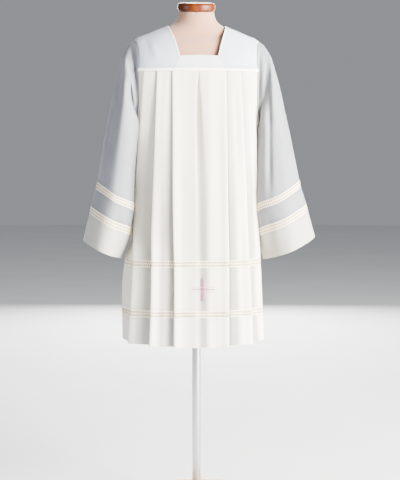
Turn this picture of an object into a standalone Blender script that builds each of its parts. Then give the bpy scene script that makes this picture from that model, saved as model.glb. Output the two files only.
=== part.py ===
"""A pleated surplice with a square yoke and wide sleeves, worn by a limbless dress form on a round base.

Metres. The front faces -Y, +X is to the right of someone who looks at the front, and Z=0 is the floor.
Left and right are a viewer's. A cloth piece is a grid of points along its real course, thickened both ways.
"""

import math

import bmesh
import bpy
import numpy as np
from mathutils import Matrix, Vector

# Cloth
WALL = 0.0012
YOKE_WALL = 0.0020
SEAM_GAP = 0.0003
MITRE_GAP = 0.0004
ARMHOLE_GAP = 0.0007

# Heights of the seams, from the hem up
HEM_Z = 0.545
LOWER_TAPE_Z = (0.639, 0.661)
UPPER_TAPE_Z = (0.798, 0.820)
UNDERARM_Z = 1.250
YOKE_SEAM_Z = 1.4225
ARMHOLE_Z = (1.4225, 1.380, 1.335, 1.295, 1.265, 1.250)
PANEL_Z = ARMHOLE_Z + (1.100, 0.950, 0.820)

# The ring that the pleats hang on at each height: half widths and depths of a rounded oblong
BODY = {
    "z": (0.545, 0.700, 0.810, 0.900, 1.000, 1.150, 1.250, 1.360, 1.4225),
    "left": (0.238, 0.240, 0.231, 0.203, 0.194, 0.196, 0.206, 0.216, 0.225),
    "right": (0.203, 0.201, 0.196, 0.190, 0.187, 0.193, 0.206, 0.216, 0.225),
    "front": (0.158, 0.153, 0.148, 0.142, 0.136, 0.127, 0.120, 0.112, 0.108),
    "back": (0.142, 0.136, 0.130, 0.124, 0.118, 0.110, 0.104, 0.100, 0.098),
}
BODY_SQUARENESS = 2.6

# Knife pleats from the centre outwards: where each fold edge is and how far its tuck runs back
PLEATS = {
    "fold_at_yoke": (0.084, 0.131, 0.172),
    "fold_at_hem_left": (0.086, 0.162, 0.220),
    "fold_at_hem_right": (0.085, 0.160, 0.196),
    "tuck_at_yoke": (0.052, 0.028, 0.024),
    "tuck_at_hem": (0.062, 0.038, 0.026),
}
LAYER_AT_YOKE = 0.0020
LAYER_AT_HEM = 0.0065
WIDEST_FOLD = 0.975
CORNER_STRETCH = 1.6
RING_SAMPLES = 160

# The soft trough down the middle of the centre panel
TROUGH = {
    "z": (0.545, 0.820, 1.150, 1.300, 1.4225),
    "half_width": (0.021, 0.022, 0.020, 0.012, 0.004),
    "depth": (0.004, 0.006, 0.008, 0.006, 0.001),
}

# Armhole edge: its distance from the centre plane, down the body and over the yoke
ARMHOLE_SIDE = (0.190, 0.1895, 0.1895, 0.192, 0.198)
SHOULDER_LINE = {
    "x": (0.0, 0.060, 0.093, 0.125, 0.160, 0.192, 0.208, 0.230),
    "z": (1.590, 1.582, 1.571, 1.559, 1.5445, 1.532, 1.520, 1.500),
}
YOKE_TURN = (90, 73.4, 58, 43, 28, 14, 0, -13, -26, -39, -52, -71, -90)
NECK_EDGE = (
    0.084, 0.0607, 0.0705, 0.080, 0.0875, 0.0915, 0.093, 0.0915, 0.087, 0.080, 0.072, 0.088, 0.104,
)
ARM_EDGE = (
    0.190, 0.1885, 0.189, 0.192, 0.197, 0.203, 0.208, 0.203, 0.197, 0.192, 0.189, 0.1885, 0.190,
)
FRONT_CORNER = 1
BACK_CORNER = 10
STRIP_COLUMNS = 5

# Sleeve rings from the shoulder down: outer and inner edge, half depth, sag between the edges, height of the
# soft folds, and how far the cloth wraps round the front and back of the body
SLEEVE = {
    "outer_x": (0.2240, 0.2400, 0.2535, 0.2720, 0.2965, 0.3165, 0.3320, 0.3370, 0.3540, 0.3590, 0.3820),
    "outer_z": (1.507, 1.480, 1.435, 1.360, 1.251, 1.150, 1.0705, 1.0490, 0.9920, 0.9700, 0.8830),
    "inner_x": (0.2150, 0.2185, 0.2200, 0.2190, 0.2150, 0.2120, 0.2085, 0.2085, 0.2110, 0.2135, 0.2345),
    "inner_z": (1.246, 1.233, 1.210, 1.165, 1.105, 1.045, 0.9860, 0.9640, 0.9110, 0.8890, 0.8150),
    "depth": (0.074, 0.092, 0.098, 0.099, 0.099, 0.100, 0.101, 0.101, 0.102, 0.102, 0.105),
    "sag": (0.000, 0.000, 0.001, 0.001, 0.000, -0.001, -0.002, -0.002, 0.000, 0.001, 0.004),
    "wave": (0.000, 0.002, 0.004, 0.005, 0.005, 0.004, 0.003, 0.003, 0.003, 0.003, 0.003),
    "wrap": (0.008, 0.018, 0.028, 0.033, 0.030, 0.027, 0.024, 0.022, 0.016, 0.013, 0.003),
}
SLEEVE_PIECES = {
    "main": (0, 6),
    "upper_tape": (6, 7),
    "middle": (7, 8),
    "lower_tape": (8, 9),
    "cuff": (9, 10),
}
SLEEVE_WAVES = 4
SLEEVE_WAVE_TURN = {"left": 0.9, "right": 0.4}
SLEEVE_SPREAD = {"left": -0.011, "right": 0.011}
DEPTH_FOR_SPREAD = 0.6
SLEEVE_TILT = {"left": -0.005, "right": 0.005}
INNER_TILT = 0.6

# Dress form: a smooth limbless torso with its neck, from its flat underside up
FORM = {
    "z": (0.735, 0.745, 0.800, 0.880, 1.050, 1.200, 1.320, 1.400, 1.440, 1.480,
          1.505, 1.520, 1.530, 1.540, 1.550, 1.560, 1.570, 1.582, 1.598, 1.620),
    "half": (0.150, 0.158, 0.168, 0.172, 0.158, 0.172, 0.184, 0.190, 0.192, 0.193,
             0.193, 0.191, 0.185, 0.1658, 0.1413, 0.1163, 0.090, 0.0705, 0.060, 0.0575),
    "front": (0.088, 0.094, 0.100, 0.102, 0.096, 0.104, 0.106, 0.101, 0.098, 0.092,
              0.086, 0.077, 0.065, 0.0625, 0.063, 0.063, 0.0625, 0.0615, 0.060, 0.0585),
    "back": (0.084, 0.090, 0.096, 0.098, 0.084, 0.090, 0.094, 0.091, 0.088, 0.082,
             0.077, 0.069, 0.057, 0.053, 0.054, 0.055, 0.055, 0.054, 0.053, 0.0515),
    "square": (2.3, 2.3, 2.3, 2.3, 2.3, 2.3, 2.3, 2.3, 2.2, 2.1,
               2.0, 2.0, 2.0, 1.9, 1.7, 1.6, 1.8, 1.9, 2.0, 2.0),
}
FORM_SIDES = 40
NECK_TILT = math.radians(10)
NECK_TILT_FROM_Z = 1.560
NECK_TOP_Z = 1.620
NECK_CENTRE_Y = -0.0035
CAP_HALF = (0.0610, 0.0580)
CAP_HEIGHT = 0.026
CAP_BEVEL = 0.008
POLE_RADIUS = 0.014
POLE_SIDES = 24
BASE_RADIUS = 0.165
BASE_HEIGHT = 0.028
BASE_BEVEL = 0.010
BASE_SIDES = 48
ROUNDING_STEPS = 4
SHARP_FROM = math.radians(35)

# Colours
CLOTH = {"colour": (0.86, 0.86, 0.84, 1), "roughness": 0.75, "metallic": 0.0}
TAPE = {"colour": (0.83, 0.79, 0.70, 1), "roughness": 0.80, "metallic": 0.0}
JERSEY = {"colour": (0.74, 0.62, 0.55, 1), "roughness": 0.85, "metallic": 0.0}
WOOD = {"colour": (0.45, 0.20, 0.07, 1), "roughness": 0.40, "metallic": 0.0}
STEEL = {"colour": (0.55, 0.55, 0.56, 1), "roughness": 0.30, "metallic": 1.0}


def clear_scene():
    for item in list(bpy.data.objects):
        bpy.data.objects.remove(item)


def material(name, look):
    made = bpy.data.materials.new(name)
    made.use_nodes = True
    shader = made.node_tree.nodes["Principled BSDF"]
    shader.inputs["Base Color"].default_value = look["colour"]
    shader.inputs["Roughness"].default_value = look["roughness"]
    shader.inputs["Metallic"].default_value = look["metallic"]
    return made


def finished(name, bm, finish):
    """Makes an object of a bmesh, with its faces pointing out and shaded smooth up to its sharp edges."""
    bmesh.ops.recalc_face_normals(bm, faces=bm.faces)
    mesh = bpy.data.meshes.new(name)
    bm.to_mesh(mesh)
    bm.free()
    mesh.shade_smooth()
    mesh.set_sharp_from_angle(angle=SHARP_FROM)
    mesh.materials.append(finish)
    made = bpy.data.objects.new(name, mesh)
    bpy.context.scene.collection.objects.link(made)
    return made


def smooth_read(places, values, place):
    """A value between the rows of a table, on a curve that passes through every row without overshooting."""
    places = np.asarray(places, float)
    values = np.asarray(values, float)
    steps = np.diff(values) / np.diff(places)
    slopes = np.zeros(len(values))
    rising = steps[:-1] * steps[1:] > 0
    slopes[1:-1][rising] = 2 * steps[:-1][rising] * steps[1:][rising] / (steps[:-1] + steps[1:])[rising]
    slopes[0], slopes[-1] = steps[0], steps[-1]
    row = int(np.clip(np.searchsorted(places, place) - 1, 0, len(steps) - 1))
    span = places[row + 1] - places[row]
    t = (place - places[row]) / span
    return (
        values[row] * (1 + 2 * t) * (1 - t) ** 2
        + slopes[row] * span * t * (1 - t) ** 2
        + values[row + 1] * t * t * (3 - 2 * t)
        - slopes[row + 1] * span * t * t * (1 - t)
    )


def body_size(z, side, face):
    """Half width and depth of the ring at a height, for a side (left or right) and a face (front or back)."""
    half = smooth_read(BODY["z"], BODY[side], z)
    depth = smooth_read(BODY["z"], BODY[face], z)
    return half, depth


def ring_depth(x, half, depth):
    """How far forward the ring stands at a distance x from the centre plane."""
    return depth * max(0.0, 1 - (abs(x) / half) ** BODY_SQUARENESS) ** (1 / BODY_SQUARENESS)


def ring_quarter(z, side, face):
    """A quarter of the ring, from the centre plane out: points, outward normals and length along it."""
    half, depth = body_size(z, side, face)
    turn = np.linspace(0, math.pi / 2, RING_SAMPLES)
    power = 2 / BODY_SQUARENESS
    x = half * np.sin(turn) ** power
    y = depth * np.cos(turn).clip(0) ** power
    points = np.stack([x, y], axis=1)
    along = np.concatenate([[0], np.cumsum(np.linalg.norm(np.diff(points, axis=0), axis=1))])
    tangent = np.gradient(points, along, axis=0)
    normal = np.stack([-tangent[:, 1], tangent[:, 0]], axis=1)
    normal /= np.linalg.norm(normal, axis=1)[:, None]
    return points, normal, along


def layer_pitch(z):
    """Spacing of the three layers of cloth in a pleat, which opens towards the hem."""
    share = (YOKE_SEAM_Z - z) / (YOKE_SEAM_Z - HEM_Z)
    return LAYER_AT_YOKE + (LAYER_AT_HEM - LAYER_AT_YOKE) * share


def pleat_path(z, side, along, points, end_length):
    """The cloth's course from the centre plane out, as (distance along the ring, height off it)."""
    share = (YOKE_SEAM_Z - z) / (YOKE_SEAM_Z - HEM_Z)
    pitch = layer_pitch(z)
    top = 2 * pitch
    trough = smooth_read(TROUGH["z"], TROUGH["depth"], z)
    reach = smooth_read(TROUGH["z"], TROUGH["half_width"], z)
    path = [(0.0, top - trough), (reach / 2, top - trough / 2), (reach, top)]
    for at_yoke, at_hem, tuck_yoke, tuck_hem in zip(
        PLEATS["fold_at_yoke"], PLEATS["fold_at_hem_" + side], PLEATS["tuck_at_yoke"], PLEATS["tuck_at_hem"]
    ):
        fold_x = min(at_yoke + (at_hem - at_yoke) * share, WIDEST_FOLD * points[-1, 0])
        fold = float(np.interp(fold_x, points[:, 0], along))
        tuck = fold - (tuck_yoke + (tuck_hem - tuck_yoke) * share)
        path += [
            (tuck, top),
            (fold, top),
            (fold + pitch / 2, 1.5 * pitch),
            (fold, pitch),
            (tuck, pitch),
            (tuck, 0.0),
            (fold, 0.0),
        ]
    path.append(((fold + end_length) / 2, pitch / 2))
    return path


def armhole_point(z, side, face):
    """The armhole edge of a body panel at one of the heights in ARMHOLE_Z, halfway through the layers."""
    half, depth = body_size(z, side, face)
    pitch = layer_pitch(z)
    half, depth = half + pitch, depth + pitch
    row = ARMHOLE_Z.index(z)
    if row == len(ARMHOLE_SIDE):
        return half, SEAM_GAP / 2
    return ARMHOLE_SIDE[row], ring_depth(ARMHOLE_SIDE[row], half, depth)


def panel_end(z, side, face):
    """Where a body panel ends: at the armhole above the underarm, and at the side seam below it."""
    if z in ARMHOLE_Z:
        return armhole_point(z, side, face)
    half, _ = body_size(z, side, face)
    return half + layer_pitch(z), SEAM_GAP / 2


def panel_half_row(z, side, face):
    """Half a row of a body panel, from the centre plane to its end, as (sideways, forward) distances."""
    points, normal, along = ring_quarter(z, side, face)
    end = np.array(panel_end(z, side, face))
    end_length = float(np.interp(end[0], points[:, 0], along))
    row = []
    for length, off in pleat_path(z, side, along, points, end_length):
        at = np.array([np.interp(length, along, points[:, axis]) for axis in (0, 1)])
        out = np.array([np.interp(length, along, normal[:, axis]) for axis in (0, 1)])
        row.append(at + off * out / np.linalg.norm(out))
    return row + [end]


def panel_row(z, face):
    """A whole row of the front or back body, from the left side seam to the right one."""
    forward = -1 if face == "front" else 1
    left = [Vector((-x, forward * y, z)) for x, y in panel_half_row(z, "left", face)]
    right = [Vector((x, forward * y, z)) for x, y in panel_half_row(z, "right", face)]
    middle = (left[0] + right[0]) / 2
    return left[:0:-1] + [middle] + right[1:]


def row_directions(row):
    """The way across the cloth at each point of a level row, longer at corners to keep the wall's width."""
    steps = [(b - a).to_2d().normalized() for a, b in zip(row, row[1:])]
    across = [Vector((step.y, -step.x)) for step in steps]
    directions = []
    for before, after in zip([across[0]] + across, across + [across[-1]]):
        middle = (before + after).normalized()
        stretch = 1 / max(middle.dot(after), 1 / CORNER_STRETCH)
        directions.append((middle * stretch).to_3d())
    return directions


def grid_directions(rows):
    """The way across the cloth at each point of closed rings, from the points around it."""
    count = len(rows[0])
    directions = []
    for r, row in enumerate(rows):
        above, below = rows[max(r - 1, 0)], rows[min(r + 1, len(rows) - 1)]
        across = []
        for c in range(count):
            along = row[(c + 1) % count] - row[c - 1]
            across.append(along.cross(below[c] - above[c]).normalized())
        directions.append(across)
    return directions


def thick_sheet(name, rows, directions, thickness, finish, closed=False):
    """A cloth piece: a grid of points moved half its thickness to either side, and closed round its edges."""
    bm = bmesh.new()
    skins = []
    for way in (thickness / 2, -thickness / 2):
        skins.append([
            [bm.verts.new(point + direction * way) for point, direction in zip(row, across)]
            for row, across in zip(rows, directions)
        ])
    columns = len(rows[0])
    pairs = [(c, (c + 1) % columns) for c in range(columns if closed else columns - 1)]
    for skin in skins:
        for upper, lower in zip(skin, skin[1:]):
            for c, beside in pairs:
                bm.faces.new((upper[c], upper[beside], lower[beside], lower[c]))
    outer, inner = skins
    for r in (0, -1):
        for c, beside in pairs:
            bm.faces.new((outer[r][c], outer[r][beside], inner[r][beside], inner[r][c]))
    if not closed:
        for c in (0, -1):
            for r in range(len(rows) - 1):
                bm.faces.new((outer[r][c], outer[r + 1][c], inner[r + 1][c], inner[r][c]))
    return finished(name, bm, finish)


def build_body(cloth, tape):
    """Front and back: main panel, upper tape, middle band, lower tape and hem band, a seam gap apart."""
    pieces = (
        ("hem_band", (HEM_Z, LOWER_TAPE_Z[0]), cloth),
        ("lower_tape", LOWER_TAPE_Z, tape),
        ("middle_band", (LOWER_TAPE_Z[1], UPPER_TAPE_Z[0]), cloth),
        ("upper_tape", UPPER_TAPE_Z, tape),
        ("panel", PANEL_Z[::-1], cloth),
    )
    for face in ("front", "back"):
        for piece, heights, finish in pieces:
            rows = [panel_row(z, face) for z in heights]
            directions = [row_directions(row) for row in rows]
            for z, across in zip(heights, directions):
                if z <= UNDERARM_Z:
                    across[0] = Vector((-1, 0, 0)) * math.copysign(1, -across[0].x)
                    across[-1] = Vector((1, 0, 0)) * math.copysign(1, across[-1].x)
            for point in rows[0]:
                point.z += 0 if piece == "hem_band" else SEAM_GAP / 2
            for point in rows[-1]:
                point.z -= SEAM_GAP / 2
            thick_sheet(f"{face}_{piece}", rows, directions, WALL, finish)


def shoulder_height(x):
    return smooth_read(SHOULDER_LINE["x"], SHOULDER_LINE["z"], abs(x))


def yoke_point(x, turn, side=1):
    """A point of the yoke: turn is 90 degrees at the front seam, 0 on the shoulder, -90 at the back seam."""
    face = "front" if turn >= 0 else "back"
    half, depth = body_size(YOKE_SEAM_Z, "right" if side > 0 else "left", face)
    pitch = layer_pitch(YOKE_SEAM_Z)
    reach = ring_depth(x, half + pitch, depth + pitch)
    angle = math.radians(turn)
    rise = shoulder_height(x) - YOKE_SEAM_Z
    height = YOKE_SEAM_Z + max(rise * math.cos(angle), SEAM_GAP / 2)
    return Vector((side * x, -reach * math.sin(angle), height))


def yoke_direction(x, turn, side=1, step=0.001):
    """The way across the yoke at one of its points."""
    along_x = yoke_point(x + step, turn, side) - yoke_point(x - step, turn, side)
    reach = -yoke_point(x, 90, side).y if turn >= 0 else yoke_point(x, -90, side).y
    angle = math.radians(turn)
    rise = shoulder_height(x) - YOKE_SEAM_Z
    along_turn = Vector((0, -reach * math.cos(angle), -rise * math.sin(angle)))
    if abs(turn) == 90:
        along_x.z = 0
    return (along_x.cross(along_turn) * side).normalized()


def build_yoke(cloth):
    """Four doubled strips, mitred where the square neck turns its corners."""
    for name, side in (("left", -1), ("right", 1)):
        rows, directions = [], []
        for turn, neck, arm in zip(YOKE_TURN, NECK_EDGE, ARM_EDGE):
            places = np.linspace(neck + MITRE_GAP / 2, arm, STRIP_COLUMNS)
            rows.append([yoke_point(float(x), turn, side) for x in places])
            directions.append([yoke_direction(float(x), turn, side) for x in places])
        thick_sheet(f"yoke_{name}_shoulder", rows, directions, YOKE_WALL, cloth)
    strips = (
        ("front", YOKE_TURN[: FRONT_CORNER + 1], NECK_EDGE[: FRONT_CORNER + 1]),
        ("back", YOKE_TURN[BACK_CORNER:], NECK_EDGE[BACK_CORNER:]),
    )
    for name, turns, edges in strips:
        rows, directions = [], []
        for turn, neck in zip(turns, edges):
            reach = neck - MITRE_GAP / 2
            places = np.linspace(-reach, reach, 2 * STRIP_COLUMNS - 1)
            sides = [(abs(float(x)), math.copysign(1, x)) for x in places]
            rows.append([yoke_point(x, turn, side) for x, side in sides])
            directions.append([yoke_direction(x, turn, side) for x, side in sides])
        thick_sheet(f"yoke_{name}", rows, directions, YOKE_WALL, cloth)


def armhole_ring(side_name):
    """The armhole seam down the front and up the back: its points, and how far the wall there reaches out."""
    side = 1 if side_name == "right" else -1
    top = YOKE_TURN.index(0)
    ring = []
    for k in list(range(top, 0, -1)) + list(range(len(YOKE_TURN) - 2, top, -1)):
        lean = yoke_direction(ARM_EDGE[k], YOKE_TURN[k], side).x * side
        ring.append((yoke_point(ARM_EDGE[k], YOKE_TURN[k], side), lean * YOKE_WALL / 2))
    down, up = [], []
    for z in ARMHOLE_Z[:-1]:
        for face, found in (("front", down), ("back", up)):
            row = panel_row(z, face)
            place = -1 if side > 0 else 0
            lean = abs(row_directions(row)[place].x)
            found.append((row[place], lean * WALL / 2))
    half, _ = body_size(UNDERARM_Z, side_name, "front")
    underarm = Vector((side * (half + layer_pitch(UNDERARM_Z)), 0, UNDERARM_Z))
    return ring[:top] + down + [(underarm, WALL / 2)] + up[::-1] + ring[top:]


def sleeve_ring(row, side_name, angles):
    """A ring of the sleeve. Angle 0 is its outer edge, 90 degrees its front and 180 its inner edge."""
    side = 1 if side_name == "right" else -1
    down = (SLEEVE["outer_z"][0] - SLEEVE["outer_z"][row]) / (SLEEVE["outer_z"][0] - SLEEVE["outer_z"][-1])
    spread = SLEEVE_SPREAD[side_name] * down
    tilt = SLEEVE_TILT[side_name] * down
    outer = Vector((SLEEVE["outer_x"][row] + spread, 0, SLEEVE["outer_z"][row] + tilt))
    inner = Vector((SLEEVE["inner_x"][row] - spread, 0, SLEEVE["inner_z"][row] - INNER_TILT * tilt))
    depth = SLEEVE["depth"][row] - DEPTH_FOR_SPREAD * spread
    centre = (outer + inner) / 2
    arm = (outer - inner) / 2
    ring = []
    for angle in angles:
        bulge = math.sin(angle) ** 2
        wave = SLEEVE["wave"][row] * math.sin(SLEEVE_WAVES * angle + SLEEVE_WAVE_TURN[side_name]) * bulge
        point = centre + arm * math.cos(angle) * (1 + wave / arm.length)
        point.y = -(depth + wave) * math.sin(angle)
        point.z -= SLEEVE["sag"][row] * bulge
        if math.cos(angle) < 0:
            point.x -= SLEEVE["wrap"][row] * math.sin(2 * angle) ** 2
        point.x *= side
        ring.append(point)
    return ring


def seam_angles(seam):
    """An angle for each point of the armhole seam, even along each half, 0 at the top and 180 below."""
    lengths = [0.0]
    for here, there in zip(seam, seam[1:] + seam[:1]):
        lengths.append(lengths[-1] + (there - here).length)
    under = min(range(len(seam)), key=lambda k: seam[k].z)
    front, whole = lengths[under], lengths[-1]
    angles = []
    for k in range(len(seam)):
        if k <= under:
            angles.append(math.pi * lengths[k] / front)
        else:
            angles.append(math.pi * (1 + (lengths[k] - front) / (whole - front)))
    return angles


def build_sleeve(side_name, cloth, tape):
    """One sleeve: it leaves the armhole seam, turns over the shoulder and hangs at the side."""
    side = 1 if side_name == "right" else -1
    edge = armhole_ring(side_name)
    seam = [point for point, _ in edge]
    angles = seam_angles(seam)
    rings = [sleeve_ring(row, side_name, angles) for row in range(len(SLEEVE["outer_z"]))]
    directions = grid_directions([seam] + rings)
    start = []
    for (point, reach), across in zip(edge, directions[0]):
        own = max(0.0, -across.x * side) * WALL / 2
        start.append(point + Vector((side * (ARMHOLE_GAP + max(reach, 0.0) + own), 0, 0)))
    for piece, (first, final) in SLEEVE_PIECES.items():
        rows = [list(rings[k]) for k in range(first, final + 1)]
        ways = directions[first + 1 : final + 2]
        if piece == "main":
            rows.insert(0, start)
            ways = directions[: final + 2]
        else:
            draw_in(rows[0], rows[1])
        if piece != "cuff":
            draw_in(rows[-1], rows[-2])
        finish = tape if "tape" in piece else cloth
        thick_sheet(f"{side_name}_sleeve_{piece}", rows, ways, WALL, finish, closed=True)


def draw_in(edge, next_row):
    """Moves an edge towards the row beside it by half the gap at a seam."""
    for k, point in enumerate(edge):
        edge[k] = point + (next_row[k] - point).normalized() * (SEAM_GAP / 2)


def solid_of_rings(name, rings, finish):
    """A closed solid through rings of points, with flat ends."""
    bm = bmesh.new()
    made = [[bm.verts.new(point) for point in ring] for ring in rings]
    count = len(made[0])
    for low, high in zip(made, made[1:]):
        for c in range(count):
            bm.faces.new((low[c], low[(c + 1) % count], high[(c + 1) % count], high[c]))
    bm.faces.new(made[0][::-1])
    bm.faces.new(made[-1])
    return finished(name, bm, finish)


def tilted(z, y):
    """The neck leans forward: its rings tip down at the front, more towards the top."""
    share = max(0.0, z - NECK_TILT_FROM_Z) / (NECK_TOP_Z - NECK_TILT_FROM_Z)
    return z + share * math.tan(NECK_TILT) * y


def build_form(jersey, wood, steel):
    """Torso and neck in one piece, the wooden neck cap, the pole and the round base."""
    rings = []
    columns = (FORM[column] for column in ("z", "half", "front", "back", "square"))
    for z, half, front, back, square in zip(*columns):
        ring = []
        for k in range(FORM_SIDES):
            turn = 2 * math.pi * k / FORM_SIDES
            sine, cosine = math.sin(turn), math.cos(turn)
            x = half * math.copysign(abs(sine) ** (2 / square), sine)
            depth = front if cosine > 0 else back
            y = -depth * math.copysign(abs(cosine) ** (2 / square), cosine)
            ring.append(Vector((x, y, tilted(z, y))))
        rings.append(ring)
    solid_of_rings("form_torso", rings, jersey)

    bm = bmesh.new()
    bmesh.ops.create_cone(
        bm, cap_ends=True, segments=FORM_SIDES, radius1=1, radius2=1, depth=CAP_HEIGHT,
        matrix=Matrix.Translation((0, 0, CAP_HEIGHT / 2)),
    )
    bmesh.ops.scale(bm, vec=(CAP_HALF[0], CAP_HALF[1], 1), verts=bm.verts)
    cap = finished("form_cap", bm, wood)
    cap.rotation_euler = (NECK_TILT, 0, 0)
    lift = SEAM_GAP / math.cos(NECK_TILT)
    cap.location = (0, NECK_CENTRE_Y, tilted(NECK_TOP_Z, NECK_CENTRE_Y) + lift)
    rim = cap.modifiers.new("rounded_edges", "BEVEL")
    rim.width = CAP_BEVEL
    rim.segments = 3
    rim.limit_method = "ANGLE"

    pole_top = FORM["z"][0] - SEAM_GAP
    pole_foot = BASE_HEIGHT + SEAM_GAP
    turned("form_pole", POLE_RADIUS, pole_foot, pole_top, POLE_SIDES, 0, steel)
    turned("form_base", BASE_RADIUS, 0, BASE_HEIGHT, BASE_SIDES, BASE_BEVEL, wood)


def turned(name, radius, foot, top, sides, rounding, finish):
    """A turned cylinder, its upper edge rounded where rounding is more than 0."""
    profile = [(radius, foot)]
    for k in range(ROUNDING_STEPS + 1 if rounding else 1):
        angle = math.pi / 2 * k / ROUNDING_STEPS
        drop = rounding * (1 - math.sin(angle))
        profile.append((radius - rounding * (1 - math.cos(angle)), top - drop))
    rings = []
    for r, z in profile:
        turns = [2 * math.pi * k / sides for k in range(sides)]
        rings.append([Vector((r * math.cos(turn), r * math.sin(turn), z)) for turn in turns])
    return solid_of_rings(name, rings, finish)


def main():
    clear_scene()
    cloth = material("white_cloth", CLOTH)
    tape = material("openwork_tape", TAPE)
    jersey = material("form_cover", JERSEY)
    wood = material("varnished_wood", WOOD)
    steel = material("bright_steel", STEEL)
    build_body(cloth, tape)
    build_yoke(cloth)
    for side_name in ("left", "right"):
        build_sleeve(side_name, cloth, tape)
    build_form(jersey, wood, steel)


main()
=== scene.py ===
# %% [markdown]
# # A pleated surplice on a dress form
# A surplice is a wide white garment. Deep knife pleats hang from a square yoke, and two bands of openwork run
# round the skirt and round each sleeve. A limbless dress form on a pole wears it.
# The frame that is loaded here holds the same object as plain solids. They say where each piece is, and this
# script makes a finer piece in its place.

# %% Load the frame
import math

import bpy
import numpy as np
from mathutils import Matrix, Vector


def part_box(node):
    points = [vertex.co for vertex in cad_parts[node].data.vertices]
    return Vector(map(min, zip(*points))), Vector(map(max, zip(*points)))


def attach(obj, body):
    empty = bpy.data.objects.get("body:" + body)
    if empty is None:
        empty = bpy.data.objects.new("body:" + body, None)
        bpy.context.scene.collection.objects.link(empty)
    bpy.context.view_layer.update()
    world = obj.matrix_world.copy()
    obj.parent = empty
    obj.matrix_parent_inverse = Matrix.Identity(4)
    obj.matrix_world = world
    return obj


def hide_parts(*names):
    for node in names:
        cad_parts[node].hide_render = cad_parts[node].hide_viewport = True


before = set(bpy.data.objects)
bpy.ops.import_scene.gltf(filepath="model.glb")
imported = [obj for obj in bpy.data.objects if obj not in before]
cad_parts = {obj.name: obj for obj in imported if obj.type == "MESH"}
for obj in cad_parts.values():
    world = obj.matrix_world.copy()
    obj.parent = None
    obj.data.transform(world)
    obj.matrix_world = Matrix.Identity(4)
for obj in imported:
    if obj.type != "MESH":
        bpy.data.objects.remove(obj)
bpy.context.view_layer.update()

print("solids in the frame:", len(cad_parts))

# %% [markdown]
# ## Camera, light and floor
# The camera stands a little to the left of the middle, at chest height, and its lens is worked out from how many
# pixels one metre takes at its distance. Nothing is hidden by the light: a large soft lamp from the front right
# shades the left side of every pleat with a gradual edge, and a weaker cool lamp from the left fills it. A third
# large lamp stands behind, so that the back shows the same white from the other side.

# %% Camera
CAMERA_PLACE = Vector((-0.3138, -3.5863, 1.135))
CAMERA_AIM = Vector((0.012, 0.0, 0.875))
SENSOR_MM = 36.0
FOCAL_PIXELS = 1094.0
PICTURE_HEIGHT = 480.0

bpy.ops.object.camera_add(location=CAMERA_PLACE)
camera = bpy.context.object
camera.name = "front_camera"
camera.rotation_euler = (CAMERA_AIM - CAMERA_PLACE).to_track_quat("-Z", "Y").to_euler()
camera.data.sensor_fit = "VERTICAL"
camera.data.sensor_width = SENSOR_MM
camera.data.sensor_height = SENSOR_MM
camera.data.lens = SENSOR_MM * FOCAL_PIXELS / PICTURE_HEIGHT
bpy.context.scene.camera = camera
print("lens:", round(camera.data.lens, 2), "mm")

# %% Lamps and surroundings
LAMPS = {
    "key_lamp": {"place": (3.1, -2.3, 1.9), "size": 2.8, "watts": 2300.0, "colour": (1.0, 0.975, 0.94)},
    "fill_lamp": {"place": (-3.4, -1.6, 1.4), "size": 1.6, "watts": 90.0, "colour": (0.80, 0.87, 1.0)},
    "front_lamp": {"place": (-0.4, -4.6, 1.9), "size": 2.4, "watts": 35.0, "colour": (1.0, 0.99, 0.97)},
    "back_lamp": {"place": (0.5, 4.6, 2.0), "size": 2.8, "watts": 750.0, "colour": (1.0, 0.985, 0.96)},
}
LAMP_AIM = Vector((0.0, 0.0, 1.05))
SKY_STRENGTH = 0.35
SKY_SOFTNESS = 70.0

for name, lamp in LAMPS.items():
    bpy.ops.object.light_add(type="AREA", location=lamp["place"])
    made = bpy.context.object
    made.name = name
    made.rotation_euler = (LAMP_AIM - made.location).to_track_quat("-Z", "Y").to_euler()
    made.data.shape = "DISK"
    made.data.size = lamp["size"]
    made.data.energy = lamp["watts"]
    made.data.color = lamp["colour"]

bpy.ops.object.light_add(type="SUN", location=(0, 0, 5))
sky = bpy.context.object
sky.name = "soft_top_light"
sky.rotation_euler = (math.radians(-14), math.radians(-10), 0)
sky.data.energy = SKY_STRENGTH
sky.data.angle = math.radians(SKY_SOFTNESS)
sky.data.color = (0.93, 0.96, 1.0)

world = bpy.data.worlds.new("pale_studio")
world.use_nodes = True
world.node_tree.nodes["Background"].inputs["Color"].default_value = (0.50, 0.52, 0.55, 1)
world.node_tree.nodes["Background"].inputs["Strength"].default_value = 0.6
bpy.context.scene.world = world
print("lamps:", len(LAMPS) + 1)

# %% [markdown]
# ## Finishes
# Each finish is a small graph of nodes. Cloth reads its own UV map, which is measured in metres along and across
# the thread, so the weave keeps its size on every piece and follows the folds. Wood, steel and the knitted cover
# read the object's coordinates. A value that is the same all over is set on the shader itself.

# %% Helpers for finishes
def add_node(tree, kind, settings=None, inputs=None):
    """Adds a node. A socket's value may be another node's output, which is then linked."""
    made = tree.nodes.new(kind)
    for key, value in (settings or {}).items():
        setattr(made, key, value)
    for key, value in (inputs or {}).items():
        if isinstance(value, bpy.types.NodeSocket):
            tree.links.new(value, made.inputs[key])
        else:
            made.inputs[key].default_value = value
    return made


def maths(tree, how, a, b=0.0):
    return add_node(tree, "ShaderNodeMath", {"operation": how}, {0: a, 1: b}).outputs[0]


def noise(tree, vector, scale, detail=2.0):
    return add_node(tree, "ShaderNodeTexNoise", None, {"Vector": vector, "Scale": scale, "Detail": detail}).outputs[0]


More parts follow.
